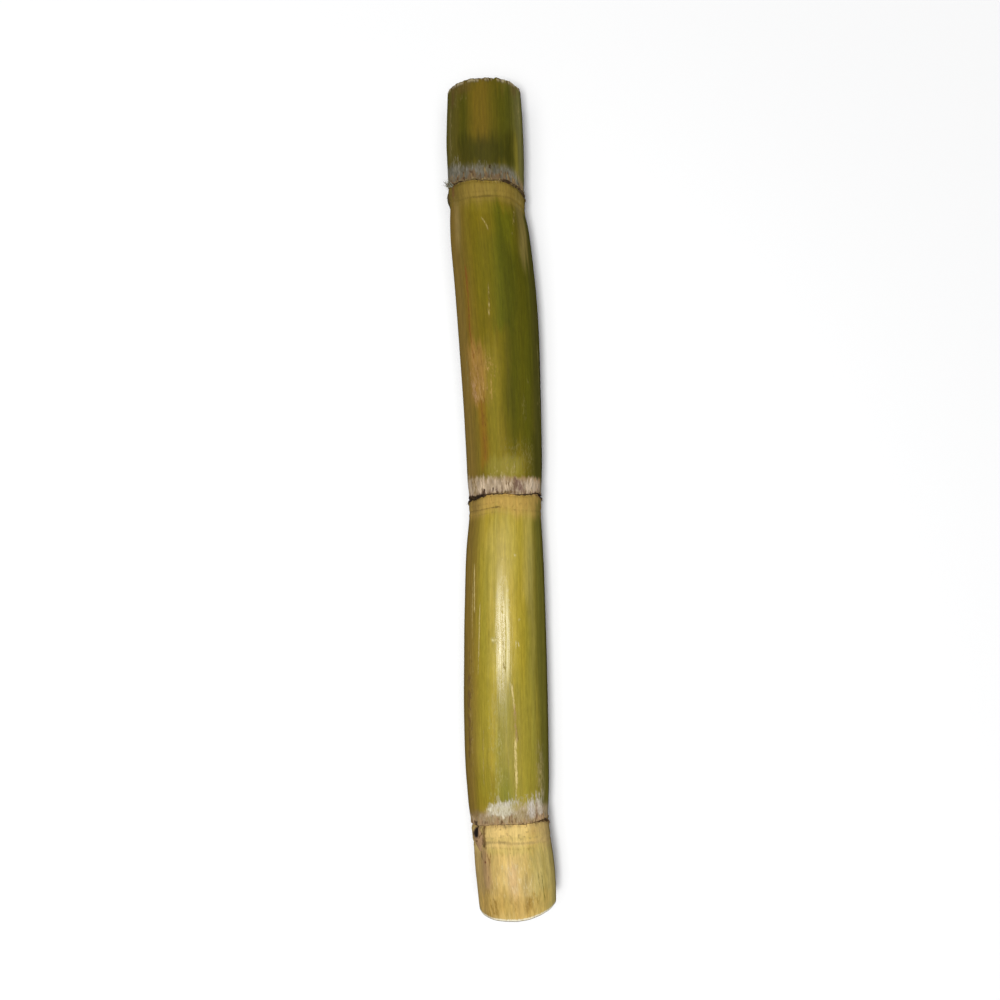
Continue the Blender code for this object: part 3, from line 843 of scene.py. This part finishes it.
# How dark the crack is next to the root band's colour, and how wide.
RING_LOOKS = {"root": (0.82, 1.0 * MM), "middle": (0.64, 0.6 * MM), "tip": (0.8, 1.2 * MM)}
# Its fainter neighbours: how strong they are, how far past the ring they run, and how wide.
RING_NEIGHBOURS = ((0.5, 2.1 * MM, 0.7 * MM), (0.45, -2.1 * MM, 0.6 * MM))


@functools.cache
def known_weights(row, weights):
    return np.array([(seen(x, row)[1], weight) for x, weight in weights]).T


def line_weight(weights, row, around):
    """How strong a line round the cane is in each direction."""
    return np.interp(turn_between(around, 0.0), *known_weights(row, weights))


def scar_weight(node, around):
    return line_weight(SCAR_WEIGHTS[node.name], SCAR_LINES[node.name][0][1], around)


def wax_cover(node, at, past):
    """The powdery wax just before a leaf scar, patchy and thin along its edge."""
    band = WAX_BANDS[node.name]
    top = line_offset(band.top, -band.reach, at.around, node.scar)
    wander = sway(at.grain, 3, 9, 14) * WAX_WANDER
    streaky = fibres(at.grain, 0.65, 3.6, 15) + 0.6 * fibres(at.grain, 0.5, 1.8, 25) - 0.8
    into = (at.distance - node.scar - top + wander) / WAX_FADE
    thick = np.clip(0.9 + 0.5 * streaky, 0.3, 1)
    inside = ease(0.4 - past / MM)
    streaks = thick * ease(into + band.teeth * streaky)
    return band.cover * streaks * inside, band.cover * ease(into) * inside


def paint_scar(node, stain, at, past):
    """The torn tissue along the leaf scar, its specks and bits of straw, and its dark line."""
    colour, width, cover = FRINGES[node.name]
    tissue = ease((past + width) / (0.9 * width) + sway(at.grain, 0.7, 2.6, 16) * 1.6)
    tissue = tissue * ease(0.5 - past / MM)
    lay(stain, cover * tissue, colour)
    straws = ease((fibres(at.grain, 0.5, 2.2, 26) - 0.62) * 8)
    lay(stain, 0.5 * straws * tissue, TAN)
    specks = ease((fibres(at.grain, 0.55, 1.5, 17) - 0.62) * 8)
    lay(stain, 0.65 * specks * tissue, DARK_BROWN)
    weight = scar_weight(node, at.around)
    half = weight * (0.5 + 0.9 * fibres(at.grain, 1.1, 60, 18)) * MM * SCAR_LINE_HALF
    off = np.abs(past - SCAR_LINE_MIDDLE)
    line = ease((half + SCAR_LINE_LEAST - off) / SCAR_LINE_SOFT)
    dark = np.clip(0.9 * weight, 0, 1)[:, None]
    tone = mix(np.array(BROWN, float), np.array(BLACK_BROWN, float), dark)
    lay(stain, 0.9 * line * ease(0.35 + weight * 2), tone)
    near = ease(past / MM) * ease(2 - past / (5 * MM))
    mottles = ease((fibres(at.grain, 1.1, 0.9, 28) - 0.55) * 5)
    lay(stain, MOTTLES[node.name] * mottles * near, 0.72 * np.array(ROOT_BANDS[node.name]))


def paint_node(node, paint, film, stain, at):
    """A node's wax, its leaf scar, and the growth ring with its two fainter neighbours."""
    past, ring = past_scar(node, at), past_ring(node, at)
    wax, golden = WAX_BANDS[node.name], np.array(ROOT_BANDS[node.name])
    streaks, haze = wax_cover(node, at, past)
    pale = 0.8 + 0.42 * fibres(at.grain, 0.65, 2.8, 36)
    tone = np.array(wax.colour, float) * pale[:, None]
    lay(paint, 0.6 * haze, 0.92 * tone)
    lay(film, wax.film * streaks, tone)
    lay(stain, wax.flecks * ease((fibres(at.grain, 0.6, 2.4, 37) - 0.6) * 7) * haze, BROWN)
    paint_scar(node, stain, at, past)
    weight = line_weight(RING_WEIGHTS[node.name], RING_LINES[node.name][0][1], at.around)
    dark, width = RING_LOOKS[node.name]
    crack = dark * golden
    lay(stain, weight * bump(ring / width) * (0.5 + fibres(at.grain, 4, 60, 19)), crack)
    for strength, past_it, wide in RING_NEIGHBOURS:
        lay(stain, strength * weight * bump((ring - past_it) / wide), crack)
    lay(stain, 0.3 * root_bumps(past, at.around) ** 4 * ease(-ring / MM - 1), 0.7 * golden)


# The key lamp lies this far to the left of straight up. The light is part even and part facing it.
LAMP_TURN = math.radians(8)
EVEN_LIGHT, LAMP_LIGHT, LEAST_LIGHT = 0.13, 1.02, 0.35


def shade(around):
    """The share of the studio's light that reaches the cane in this direction, on its seen side."""
    facing = np.cos(turn_between(around, 0.0) + LAMP_TURN)
    lit = np.maximum(EVEN_LIGHT + LAMP_LIGHT * facing, LEAST_LIGHT)
    return mix(lit, 1.0, hidden_share(around, math.radians(75), math.radians(30)))


def paint_rims(film, stain, at):
    """The browned, freckled edge of the old cut, and the pale edge of the fresh one with a thin
    line of painted shadow beyond it.
    """
    distance, grain = at.distance, at.grain
    freckles = sway(grain, 0.8, 2, 22) * 1.8
    lay(stain, 0.5 * ease(1 - distance / (2 * MM) + freckles), BROWN)
    pale = ease((fibres(grain, 0.9, 1.4, 34) - 0.3) * 5)
    lay(stain, 0.9 * pale * ease(1.9 - distance / (0.8 * MM)), RIM_BEIGE)
    dark = ease((fibres(grain, 0.6, 1.2, 23) - 0.6) * 8)
    lay(stain, 0.6 * dark * ease(2 - distance / (1.6 * MM)), DARK_BROWN)
    edge = (STALK_LENGTH - distance) / MM
    lay(film, 1.2 * ease((1.35 - edge) / 0.4), RIM_CREAM)
    # a thin line of painted shadow along the fresh cut's outer edge
    lay(stain, ease(1.9 - edge / 0.25), DARK_BROWN)


STREAK_STRENGTH = 0.16
BRIGHTEST, DARKEST = 0.85, 0.01


def paint_cane(mesh, at):
    """Writes the layers that the rind's material mixes: bare rind, wax and scuffs, and stains,
    with painted shade on the flanks and a few painted highlights among them.
    """
    paint, gloss = base_paint(at)
    film, stain = np.zeros_like(paint), np.zeros_like(paint)
    lay_marks(paint, PAINT_MARKS, at)
    streaks = sway(at.grain, 1.0, 70, 20) + 0.7 * sway(at.grain, 2.6, 120, 21)
    paint[:, :3] *= (1 + STREAK_STRENGTH * streaks)[:, None]
    for node in NODES:
        paint_node(node, paint, film, stain, at)
    flaky = np.clip(0.55 + 0.9 * fibres(at.grain, 0.9, 4, 24), 0, 1)
    lay_marks(film, FILM_MARKS, at, flaky)
    lay_marks(stain, STAIN_MARKS, at, flaky)
    lay_marks(film, LIGHT_STROKES, at, ease(sway(at.grain, 0.55, 2.6, 29) * 4 + 0.5))
    lay_marks(stain, DARK_STROKES, at, ease((fibres(at.grain, 0.6, 2.2, 35) - 0.55) * 5 + 0.5))
    paint_rims(film, stain, at)
    # The colours are given as they look under the lamps. Dividing by the lamp's share paints the
    # flanks lighter, so that the studio's own shading isn't counted twice.
    light = shade(at.around)[:, None]
    for layer in (paint, film, stain):
        layer[:, :3] /= light
        highest = np.maximum(layer[:, :3].max(axis=1), DARKEST)
        layer[:, :3] *= np.minimum(1, BRIGHTEST / highest)[:, None]
    paint[:, 3] = gloss
    worn = ease((at.distance - NODES[-1].scar) / (4 * MM)) + 0.5 * ease(1 - at.distance / (6 * MM))
    for name, layer in (("paint", paint), ("film", film), ("stain", stain)):
        write_attribute(mesh, name, "FLOAT_COLOR", layer)
    write_attribute(mesh, "grain", "FLOAT_VECTOR", at.grain)
    write_attribute(mesh, "worn", "FLOAT", worn)


def cap_faces(rim, first, middle):
    """A cut's faces: from its rim through its rings, the first of which starts at first."""
    chain = [rim] + [first + i * COLUMNS for i in range(CAP_RINGS)]
    faces = [face for a, b in zip(chain, chain[1:]) for face in ring_faces(a, b).tolist()]
    last = chain[-1]
    return faces + [(last + (i + 1) % COLUMNS, last + i, middle) for i in range(COLUMNS)]


def build_cane():
    """The whole stalk as one closed skin, with its two cut faces."""
    angles, distances = column_angles(), ring_distances()
    distance, around = (part.ravel() for part in np.meshgrid(distances, angles, indexing="ij"))
    skin = skin_point(distance, around)
    rings = skin.reshape(len(distances), COLUMNS, 3)
    root_cap, root_middle = cap_points(rings[0], -1)
    tip_cap, tip_middle = cap_points(rings[-1], 1)
    points = np.concatenate([skin, *root_cap, *tip_cap, [root_middle, tip_middle]])

    rounds = len(distances)
    starts = [i * COLUMNS for i in range(rounds + 2 * CAP_RINGS)]
    faces = [face for a, b in zip(starts, starts[1:rounds]) for face in ring_faces(a, b)]
    skin_faces = len(faces)
    faces += [face[::-1] for face in cap_faces(0, starts[rounds], len(points) - 2)]
    faces += cap_faces(starts[rounds - 1], starts[-CAP_RINGS], len(points) - 1)
    cane = add_mesh("cane", points, faces)

    caps = len(points) - len(skin)
    distance = np.concatenate((distance, np.repeat((0.0, STALK_LENGTH), caps // 2)))
    inner = np.tile(angles, CAP_RINGS)
    around = np.concatenate((around, inner, inner, (0.0, 0.0)))
    paint_cane(cane.data, places(distance, around))
    finish_mesh(cane.data, rind_material(), cut_material())
    slots = np.zeros(len(cane.data.polygons), np.int32)
    slots[skin_faces:] = 1
    cane.data.polygons.foreach_set("material_index", slots)
    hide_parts("stalk")
    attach(cane, "root")


def set_inputs(tree, node, inputs):
    """Gives each input of a node its value, or links it to the output that is given."""
    for name, value in inputs.items():
        if isinstance(value, bpy.types.NodeSocket):
            tree.links.new(value, node.inputs[name])
        else:
            node.inputs[name].default_value = value


def add(tree, kind, inputs=None, **settings):
    """The outputs of a new shader node."""
    made = tree.nodes.new(kind)
    for name, value in settings.items():
        setattr(made, name, value)
    set_inputs(tree, made, inputs or {})
    return made.outputs


def maths(tree, operation, first, second, clamp=False):
    inputs = {0: first, 1: second}
    return add(tree, "ShaderNodeMath", inputs, operation=operation, use_clamp=clamp)[0]


def weighed(tree, base, value, factor, clamp=False):
    """The base, with the value times the factor added."""
    return maths(tree, "ADD", base, maths(tree, "MULTIPLY", value, factor), clamp)


def uneven(tree, value, grains, strength):
    """The value, raised and lowered by grains around 0.5."""
    return weighed(tree, value, maths(tree, "SUBTRACT", grains, 0.5), strength)


def blend(tree, share, first, second):
    return add(tree, "ShaderNodeMix", {0: share, 6: first, 7: second}, data_type="RGBA")[2]


def multiplied(tree, first, second):
    return add(tree, "ShaderNodeVectorMath", {0: first, 1: second}, operation="MULTIPLY")[0]


def scaled(tree, colour, factor):
    return add(tree, "ShaderNodeVectorMath", {0: colour, "Scale": factor}, operation="SCALE")[0]


def texture(tree, coordinates, across, along, detail=2.0, roughness=0.5):
    """Noise from 0 to 1 with this many features per metre across and along the cane."""
    moved = multiplied(tree, coordinates, (across, along, across))
    inputs = {"Vector": moved, "Scale": 1.0, "Detail": detail, "Roughness": roughness}
    return add(tree, "ShaderNodeTexNoise", inputs)["Fac"]


def between(tree, value, low, high):
    """0 at low and 1 at high, smoothly."""
    inputs = {"Value": value, "From Min": low, "From Max": high}
    return add(tree, "ShaderNodeMapRange", inputs, interpolation_type="SMOOTHSTEP")["Result"]


def attribute(tree, name):
    return add(tree, "ShaderNodeAttribute", attribute_name=name)


def own_place(tree):
    """Where a point lies on its object."""
    return add(tree, "ShaderNodeTexCoord")["Object"]


def new_material(name):
    made = bpy.data.materials.new(name)
    made.use_nodes = True
    return made, made.node_tree


def dress(made, inputs, relief=()):
    """Sets the inputs of a material's shader. relief is how strong, deep and high its bumps are."""
    tree = made.node_tree
    if relief:
        bumps = dict(zip(("Strength", "Distance", "Height"), relief))
        inputs["Normal"] = add(tree, "ShaderNodeBump", bumps)[0]
    set_inputs(tree, tree.nodes["Principled BSDF"], inputs)
    return made


def layer_cover(tree, alpha, grains, share, limits):
    """How much a painted layer covers, broken up by fine grains."""
    broken = between(tree, uneven(tree, alpha, grains, share), *limits)
    return maths(tree, "MULTIPLY", broken, between(tree, alpha, 0.0, 0.12))


def rind_material():
    """Waxy rind: painted colour with fine grain, a powdery wax film, and stains over both."""
    made, tree = new_material("waxy_rind")
    paint, film, stain = (attribute(tree, name) for name in ("paint", "film", "stain"))
    grain, worn = attribute(tree, "grain")["Vector"], attribute(tree, "worn")["Fac"]
    fine = texture(tree, grain, 1500, 60, 4, 0.6)
    broad = texture(tree, grain, 420, 26, 3)
    speck = texture(tree, grain, 1300, 240, 3, 0.65)
    flake = texture(tree, grain, 1150, 250, 4, 0.65)
    powder = texture(tree, grain, 2500, 520, 3, 0.65)
    fibre = texture(tree, grain, 2400, 520, 3, 0.65)

    warm, cool = (1.02, 0.997, 0.98, 1), (0.98, 1.003, 1.0, 1)
    tint = blend(tree, between(tree, broad, 0.3, 0.7), warm, cool)
    bright = uneven(tree, 1.0, fine, weighed(tree, 0.62, worn, -0.3))
    bright = uneven(tree, bright, speck, 0.55)
    bright = uneven(tree, bright, flake, weighed(tree, 0.1, worn, 0.7))
    colour = scaled(tree, multiplied(tree, paint["Color"], tint), bright)
    dusted = layer_cover(tree, film["Alpha"], powder, 2.2, (0.12, 1.15))
    dust = scaled(tree, film["Color"], weighed(tree, 0.75, powder, 0.5))
    colour = blend(tree, dusted, colour, dust)
    stained = layer_cover(tree, stain["Alpha"], fibre, 1.4, (0.15, 0.9))
    colour = blend(tree, stained, colour, stain["Color"])

    rough = uneven(tree, weighed(tree, 0.86, paint["Alpha"], -0.6), broad, 0.25)
    rough = weighed(tree, weighed(tree, rough, dusted, 0.35), stained, 0.4, clamp=True)
    height = weighed(tree, weighed(tree, fine, dusted, powder), stained, fibre)
    height = weighed(tree, height, broad, 1.5)
    inputs = {"Base Color": colour, "Roughness": rough, "Specular IOR Level": 0.28}
    return dress(made, inputs, (0.8, 0.12 * MM, height))


def cut_material():
    """A cut across the cane: pale pith with the dots of its fibre bundles."""
    made, tree = new_material("cut_pith")
    spot = own_place(tree)
    inputs = {"Vector": multiplied(tree, spot, (620, 1, 620)), "Scale": 1.0}
    bundle = between(tree, add(tree, "ShaderNodeTexVoronoi", inputs)["Distance"], 0.42, 0.2)
    cloud = texture(tree, spot, 260, 20, 4)
    pith = blend(tree, cloud, (0.62, 0.47, 0.22, 1), (0.8, 0.68, 0.4, 1))
    dots = maths(tree, "MULTIPLY", bundle, 0.75)
    inputs = {"Base Color": blend(tree, dots, pith, (0.36, 0.22, 0.08, 1)), "Roughness": 0.75}
    height = weighed(tree, bundle, texture(tree, spot, 1500, 50, 3), 0.6)
    return dress(made, inputs, (0.7, 0.15 * MM, height))


def dry_material():
    """Dead, fibrous sheath tissue."""
    made, tree = new_material("dry_fibre")
    fibre = texture(tree, own_place(tree), 2600, 700, 3, 0.6)
    colour = scaled(tree, attribute(tree, "paint")["Color"], weighed(tree, 0.55, fibre, 0.9))
    return dress(made, {"Base Color": colour, "Roughness": 0.85}, (0.6, 0.08 * MM, fibre))


def stage_look(made, white, glow):
    """Makes a material matt and self-lit. Its glow doesn't light anything else."""
    made.cycles.emission_sampling = "NONE"
    inputs = {"Base Color": (white, white, white, 1), "Roughness": 1.0, "Specular IOR Level": 0.0}
    return dress(made, inputs | {"Emission Color": glow, "Emission Strength": 1.0})


def floor_material():
    """White, and self-lit further out, where the lamps don't reach."""
    made, tree = new_material("pale_floor")
    length = add(tree, "ShaderNodeVectorMath", {0: own_place(tree)}, operation="LENGTH")["Value"]
    return stage_look(made, 1.0, scaled(tree, FLOOR_GLOW, between(tree, length, *GLOW_REACH)))


# A direction that no fibre follows, to build its sides from.
ODD_DIRECTION = 0.31, 0.52, 0.79


class Shells:
    """Closed shells gathered into one piece, each point with its colour."""

    def __init__(self):
        self.points, self.faces, self.colours = [], [], []

    def add_loops(self, loops, colours):
        """A closed shell through loops of points. colours has one colour, or one for each loop."""
        start, size = sum(map(len, self.points)), len(loops[0])
        order = np.arange(size)
        for i in range(len(loops) - 1):
            a, b = start + i * size, start + (i + 1) * size
            onward = (order + 1) % size
            self.faces += np.stack((a + order, a + onward, b + onward, b + order), axis=1).tolist()
        self.faces.append((start + order[::-1]).tolist())
        self.faces.append((start + (len(loops) - 1) * size + order).tolist())
        self.points.append(np.concatenate(loops))
        colours = np.broadcast_to(np.array(colours, float), (len(loops), 3))
        self.colours.append(np.repeat(colours, size, axis=0))

    def strand(self, path, radii, colour, sides=5):
        """A tapered fibre along a path."""
        steps = np.gradient(path, axis=0)
        steps /= np.linalg.norm(steps, axis=1)[:, None]
        across = np.cross(steps, ODD_DIRECTION)
        across /= np.linalg.norm(across, axis=1)[:, None]
        other = np.cross(steps, across)
        turn = np.arange(sides) / sides * math.tau
        loops = [
            middle + radius * (np.outer(np.cos(turn), first) + np.outer(np.sin(turn), second))
            for middle, radius, first, second in zip(path, radii, across, other)
        ]
        self.add_loops(loops, linear(colour))

    def make(self, name, material):
        points, colours = np.concatenate(self.points), np.concatenate(self.colours)
        made = add_mesh(name, points, self.faces)
        rows = np.concatenate((colours, np.ones((len(colours), 1))), axis=1)
        write_attribute(made.data, "paint", "FLOAT_COLOR", rows)
        finish_mesh(made.data, material)
        return made


def scar_place(node, around):
    """How far from the root-end cut the scar's line lies, in these directions."""
    return node.scar - past_scar(node, places(node.scar, np.atleast_1d(around)))


REMNANT_COLUMNS = 420
# A remnant's section: where its points lie across its width, how thick it is at the scar and how
# much thinner at its edge, in millimetres, and how far it lies off the cane.
REMNANT_SHARES = np.array((0.0, 0.3, 0.6, 0.85, 1.0))
REMNANT_THICK, REMNANT_TAPER = 0.26, 0.17
REMNANT_START, REMNANT_LIFT = 0.05 * MM, 0.02 * MM
REMNANT_TONES = {
    "root": (DARK_BROWN, TAN),
    "middle": (BLACK_BROWN, BROWN),
    "tip": (BROWN, PINK_TAN),
}


def remnant_width(node, around, dice):
    """How far the torn sheath reaches past the scar: little on top, more on the hidden side."""
    hidden = hidden_share(around, math.radians(62), math.radians(25))
    weight = scar_weight(node, around)
    width = mix(0.08 + 0.34 * weight, 1.5, hidden)
    teeth = dice.random(len(around)) ** 3 * mix(0.15 + 0.4 * np.minimum(weight, 1), 1.5, hidden)
    ragged = fibres(straight(0.0, around), 1.3, 9, 30)
    return (width * (0.45 + 1.1 * ragged) + teeth) * MM


def sheath_remnant(node, material):
    """The torn foot of the old leaf sheath, a thin ragged collar with loose fibres."""
    dice = np.random.default_rng(len(node.name))
    shells = Shells()
    first, last = (math.radians(angle) for angle in node.remnant)
    around = np.linspace(first, last, REMNANT_COLUMNS)
    width = remnant_width(node, around, dice)
    scar = scar_place(node, around)
    curl = (0.1 + 0.5 * fibres(straight(0.0, around), 2, 9, 31)) * MM
    ways = np.concatenate((REMNANT_SHARES, REMNANT_SHARES[::-1]))
    upper = np.repeat((1.0, 0.0), len(REMNANT_SHARES))
    thick = (REMNANT_THICK - REMNANT_TAPER * ways) * upper * MM
    distance = scar[:, None] + REMNANT_START + width[:, None] * ways
    lift = REMNANT_LIFT + thick + curl[:, None] * ways**2
    points = skin_point(distance, np.repeat(around[:, None], len(ways), axis=1), lift)
    shades = fibres(straight(0.0, around), 1.0, 9, 32)
    first_tone, last_tone = (linear(tone) for tone in REMNANT_TONES[node.name])
    colours = mix(first_tone, last_tone, shades[:, None] ** 2)
    shells.add_loops(list(points), colours)
    loose_fibres(node, shells, dice, first, last)
    if node.name == "root":
        tuft(node, shells, dice, first)
    made = shells.make(f"dry_sheath_{node.name}", material)
    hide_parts(f"sheath_remnant_{node.name}")
    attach(made, "root")


LOOSE_FIBRES = 90
FIBRE_COLOURS = {
    "root": (BROWN, TAN, STRAW, BROWN, DARK_BROWN),
    "middle": (DARK_BROWN, BROWN, BLACK_BROWN, TAN, BROWN),
    "tip": (BROWN, TAN, PINK_TAN, STRAW, BROWN),
}


def loose_fibres(node, shells, dice, first, last):
    for _ in range(LOOSE_FIBRES):
        around = dice.uniform(first, last)
        hidden = float(hidden_share(around, 1.0, 0.5))
        length = dice.uniform(0.5, mix(1.5, 3.2, hidden)) * MM
        heading = dice.normal(0.0, 0.5)
        rise = dice.uniform(0.0, mix(0.15, 0.6, hidden)) * length
        start = float(scar_place(node, around)[0]) + dice.uniform(-0.9, 0.6) * MM
        share = np.linspace(0, 1, 5)
        distance = start + length * math.cos(heading) * share
        turn = around + length * math.sin(heading) * share / MEAN_RADIUS
        path = skin_point(distance, turn, 0.08 * MM + rise * share**2)
        radius = dice.uniform(0.05, 0.11) * MM
        colour = FIBRE_COLOURS[node.name][dice.integers(5)]
        shells.strand(path, radius * (1 - 0.75 * share), colour)


TUFT_FIBRES = 70
TUFT_COLOURS = (DARK_BROWN, (150, 154, 136), (120, 124, 108), (166, 168, 146), BROWN)


def tuft(node, shells, dice, first):
    """Stiff fibres that stand out from the remnant's end, towards the root end."""
    for i in range(TUFT_FIBRES):
        around = first + math.radians(dice.uniform(1, 18))
        start = float(scar_place(node, around)[0]) + dice.uniform(0.3, 1.3) * MM
        foot = skin_point(np.array([start]), np.array([around]), 0.1 * MM)[0]
        lean = np.array((math.sin(around), dice.uniform(-0.3, 1.2), math.cos(around)))
        lean += dice.normal(0, 0.28, 3)
        lean /= np.linalg.norm(lean)
        length = dice.uniform(1.2, 3.6) * MM
        share = np.linspace(0, 1, 6)[:, None]
        bend = np.array((-0.15, 0.25, -0.3)) * dice.uniform(0.2, 1.2)
        path = foot + length * (share * lean + share**2 * bend)
        radius = dice.uniform(0.06, 0.13) * MM
        shells.strand(path, radius * (1 - 0.7 * share[:, 0]), TUFT_COLOURS[i % 5])


BUD_WIDTH, BUD_THICKNESS, BUD_PROUD = 9 * MM, 5 * MM, 1.3 * MM
BUD_ROWS, BUD_SIDES = 64, 72
BUD_ENDS = 0.015, 0.985
BUD_LOOKS = {
    "root": (GREY_GREEN, BROWN, DARK_BROWN),
    "middle": (LIME_GOLD, BROWN, DARK_BROWN),
    "tip": (PINK_TAN, BROWN, BLACK_BROWN),
}


def bud_pit(along, turn):
    """Where a bud's first scale has dried back and left a hollow, from 0 to 1."""
    return bump((along + 0.62) / 0.62) * bump((np.cos(turn) + 0.02) / 0.7) * (np.sin(turn) > 0)


def bud_shape(share, turn):
    """A bud's surface in its own frame: across, towards its point, and out of the cane."""
    along = -np.cos(math.pi * share)
    towards = ease((along + 1) / 2)
    round_out = np.sin(math.pi * share)
    across, out = np.cos(turn), np.sin(turn)
    width = BUD_WIDTH / 2 * round_out * (1 - 0.62 * towards**2)
    height = BUD_THICKNESS / 2 * round_out * (1 - 0.45 * towards)
    wing = 0.5 * MM * round_out * ease((np.abs(across) - 0.72) / 0.28) * ease(towards * 2)
    hood = along - (0.1 + 0.55 * across**2 * np.sign(across) + 0.25 * across)
    scale_step = 0.3 * MM * (1 - ease(hood / 0.06))
    collar = 0.25 * MM * (1 - ease((along + 0.45 - 0.3 * across**2) / 0.06))
    veins = 0.07 * MM * np.cos(across * 26) * round_out
    out_side = (scale_step + collar + veins) * np.maximum(out, 0) * round_out
    x = (width + wing) * across
    z = height * out + out_side - 0.7 * MM * bud_pit(along, turn)
    return x, along * BUD_LENGTH / 2, z, hood


def bud_colours(node, x, y, z, hood, turn):
    """Dry, veined scales with dark edges and a dark hollow."""
    body, edge, deep = (linear(colour) for colour in BUD_LOOKS[node.name])
    grain = np.stack((x, y, z), axis=-1)
    dark = bump(hood / 0.12) * 0.8 + ease((y / BUD_LENGTH - 0.25) * 4) * 0.7
    dark += 0.8 * ease((np.abs(np.cos(turn)) - 0.72) * 5)
    dark += sway(grain, 0.7, 3, 33) * 1.6
    pit = ease(bud_pit(2 * y / BUD_LENGTH, turn) * 2.2)
    return mix(mix(body, edge, ease(dark)[:, None]), deep, pit[:, None])


def bud(node, material):
    """A flat, pointed bud of overlapping scales, pressed to the cane."""
    rows = np.linspace(*BUD_ENDS, BUD_ROWS)
    turns = np.arange(BUD_SIDES, 0, -1) / BUD_SIDES * math.tau
    share, turn = np.meshgrid(rows, turns, indexing="ij")
    x, y, z, hood = bud_shape(share, turn)
    middle = node.scar + BUD_START + BUD_LENGTH / 2
    reach = middle + np.array((-1, 1)) * BUD_LENGTH / 3
    ends = place(reach, node.bud, through_stations(reach, RADIUS))
    growth = ends[1] - ends[0]
    growth /= np.linalg.norm(growth)
    outwards = np.array((math.sin(node.bud), 0, math.cos(node.bud)))
    outwards -= growth * outwards.dot(growth)
    outwards /= np.linalg.norm(outwards)
    radius = through_stations(middle, RADIUS) + BAND_SWELL
    centre = place(middle, node.bud, radius + BUD_PROUD - BUD_THICKNESS / 2)
    sideways = np.cross(growth, outwards)
    points = centre + x[..., None] * sideways + y[..., None] * growth + z[..., None] * outwards
    shells = Shells()
    shells.add_loops(list(points), (0, 0, 0))
    flat = (part.ravel() for part in (x, y, z, hood, turn))
    shells.colours[0] = bud_colours(node, *flat)
    made = shells.make(f"bud_{node.name}", material)
    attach(made, "root")


BACKDROP_RADIUS = 9.0
BACKDROP_LIGHT = (0.84, 0.85, 0.86, 1)
FLOOR_GLOW = (0.77, 0.775, 0.78)
GLOW_REACH = 0.15, 1.1
FLOOR_GAP = 0.05 * MM
KEY_LAMP = "key", (-0.1, -0.142, 0.95), 0.18, 4.9
FILL_LAMP = "fill", (-0.1, 0.0, 1.3), 1.2, 10.0
SKY_COLOUR, SKY_STRENGTH = (0.95, 0.97, 1.0, 1), 0.08
LENS, SENSOR, LENS_SHIFT = 38.88, 36.0, 0.02


def add_lamp(name, location, size, energy):
    """A round soft light that faces the middle of the cane."""
    lamp = bpy.data.lights.new(name, "AREA")
    lamp.shape, lamp.size, lamp.energy = "DISK", size, energy
    made = add_object(name, lamp)
    made.location = location
    made.rotation_euler = (-made.location).to_track_quat("-Z", "Y").to_euler()
    return made


def add_floor():
    reach = BACKDROP_RADIUS
    corners = [(-reach, -reach, 0), (reach, -reach, 0), (reach, reach, 0), (-reach, reach, 0)]
    floor = add_mesh("floor", np.array(corners, float), [(0, 1, 2, 3)])
    floor.data.materials.append(floor_material())
    floor.location.z = -FLOOR_GAP
    floor.visible_diffuse = floor.visible_glossy = False


def add_backdrop():
    """A pale dome that the camera sees and that neither lights nor shades anything."""
    shape, mesh = bmesh.new(), bpy.data.meshes.new("backdrop")
    bmesh.ops.create_icosphere(shape, subdivisions=4, radius=BACKDROP_RADIUS)
    shape.to_mesh(mesh)
    shape.free()
    mesh.materials.append(stage_look(new_material("pale_backdrop")[0], 0.0, BACKDROP_LIGHT))
    made = add_object("backdrop", mesh)
    made.visible_diffuse = made.visible_glossy = made.visible_shadow = False
    made.visible_transmission = made.visible_volume_scatter = False


def set_stage():
    add_floor()
    add_backdrop()
    add_lamp(*KEY_LAMP)
    add_lamp(*FILL_LAMP).visible_glossy = False
    world = bpy.data.worlds.new("studio")
    world.use_nodes = True
    sky = {"Color": SKY_COLOUR, "Strength": SKY_STRENGTH}
    set_inputs(world.node_tree, world.node_tree.nodes["Background"], sky)
    world.cycles_visibility.glossy = False
    bpy.context.scene.world = world
    bpy.context.scene.view_settings.view_transform = "Standard"
    lens = bpy.data.cameras.new("camera")
    lens.lens, lens.sensor_width, lens.shift_y = LENS, SENSOR, LENS_SHIFT
    camera = add_object("camera", lens)
    camera.location = CAMERA_PLACE
    bpy.context.scene.camera = camera


set_stage()
build_cane()
dry = dry_material()
for node in NODES:
    sheath_remnant(node, dry)
    bud(node, dry)
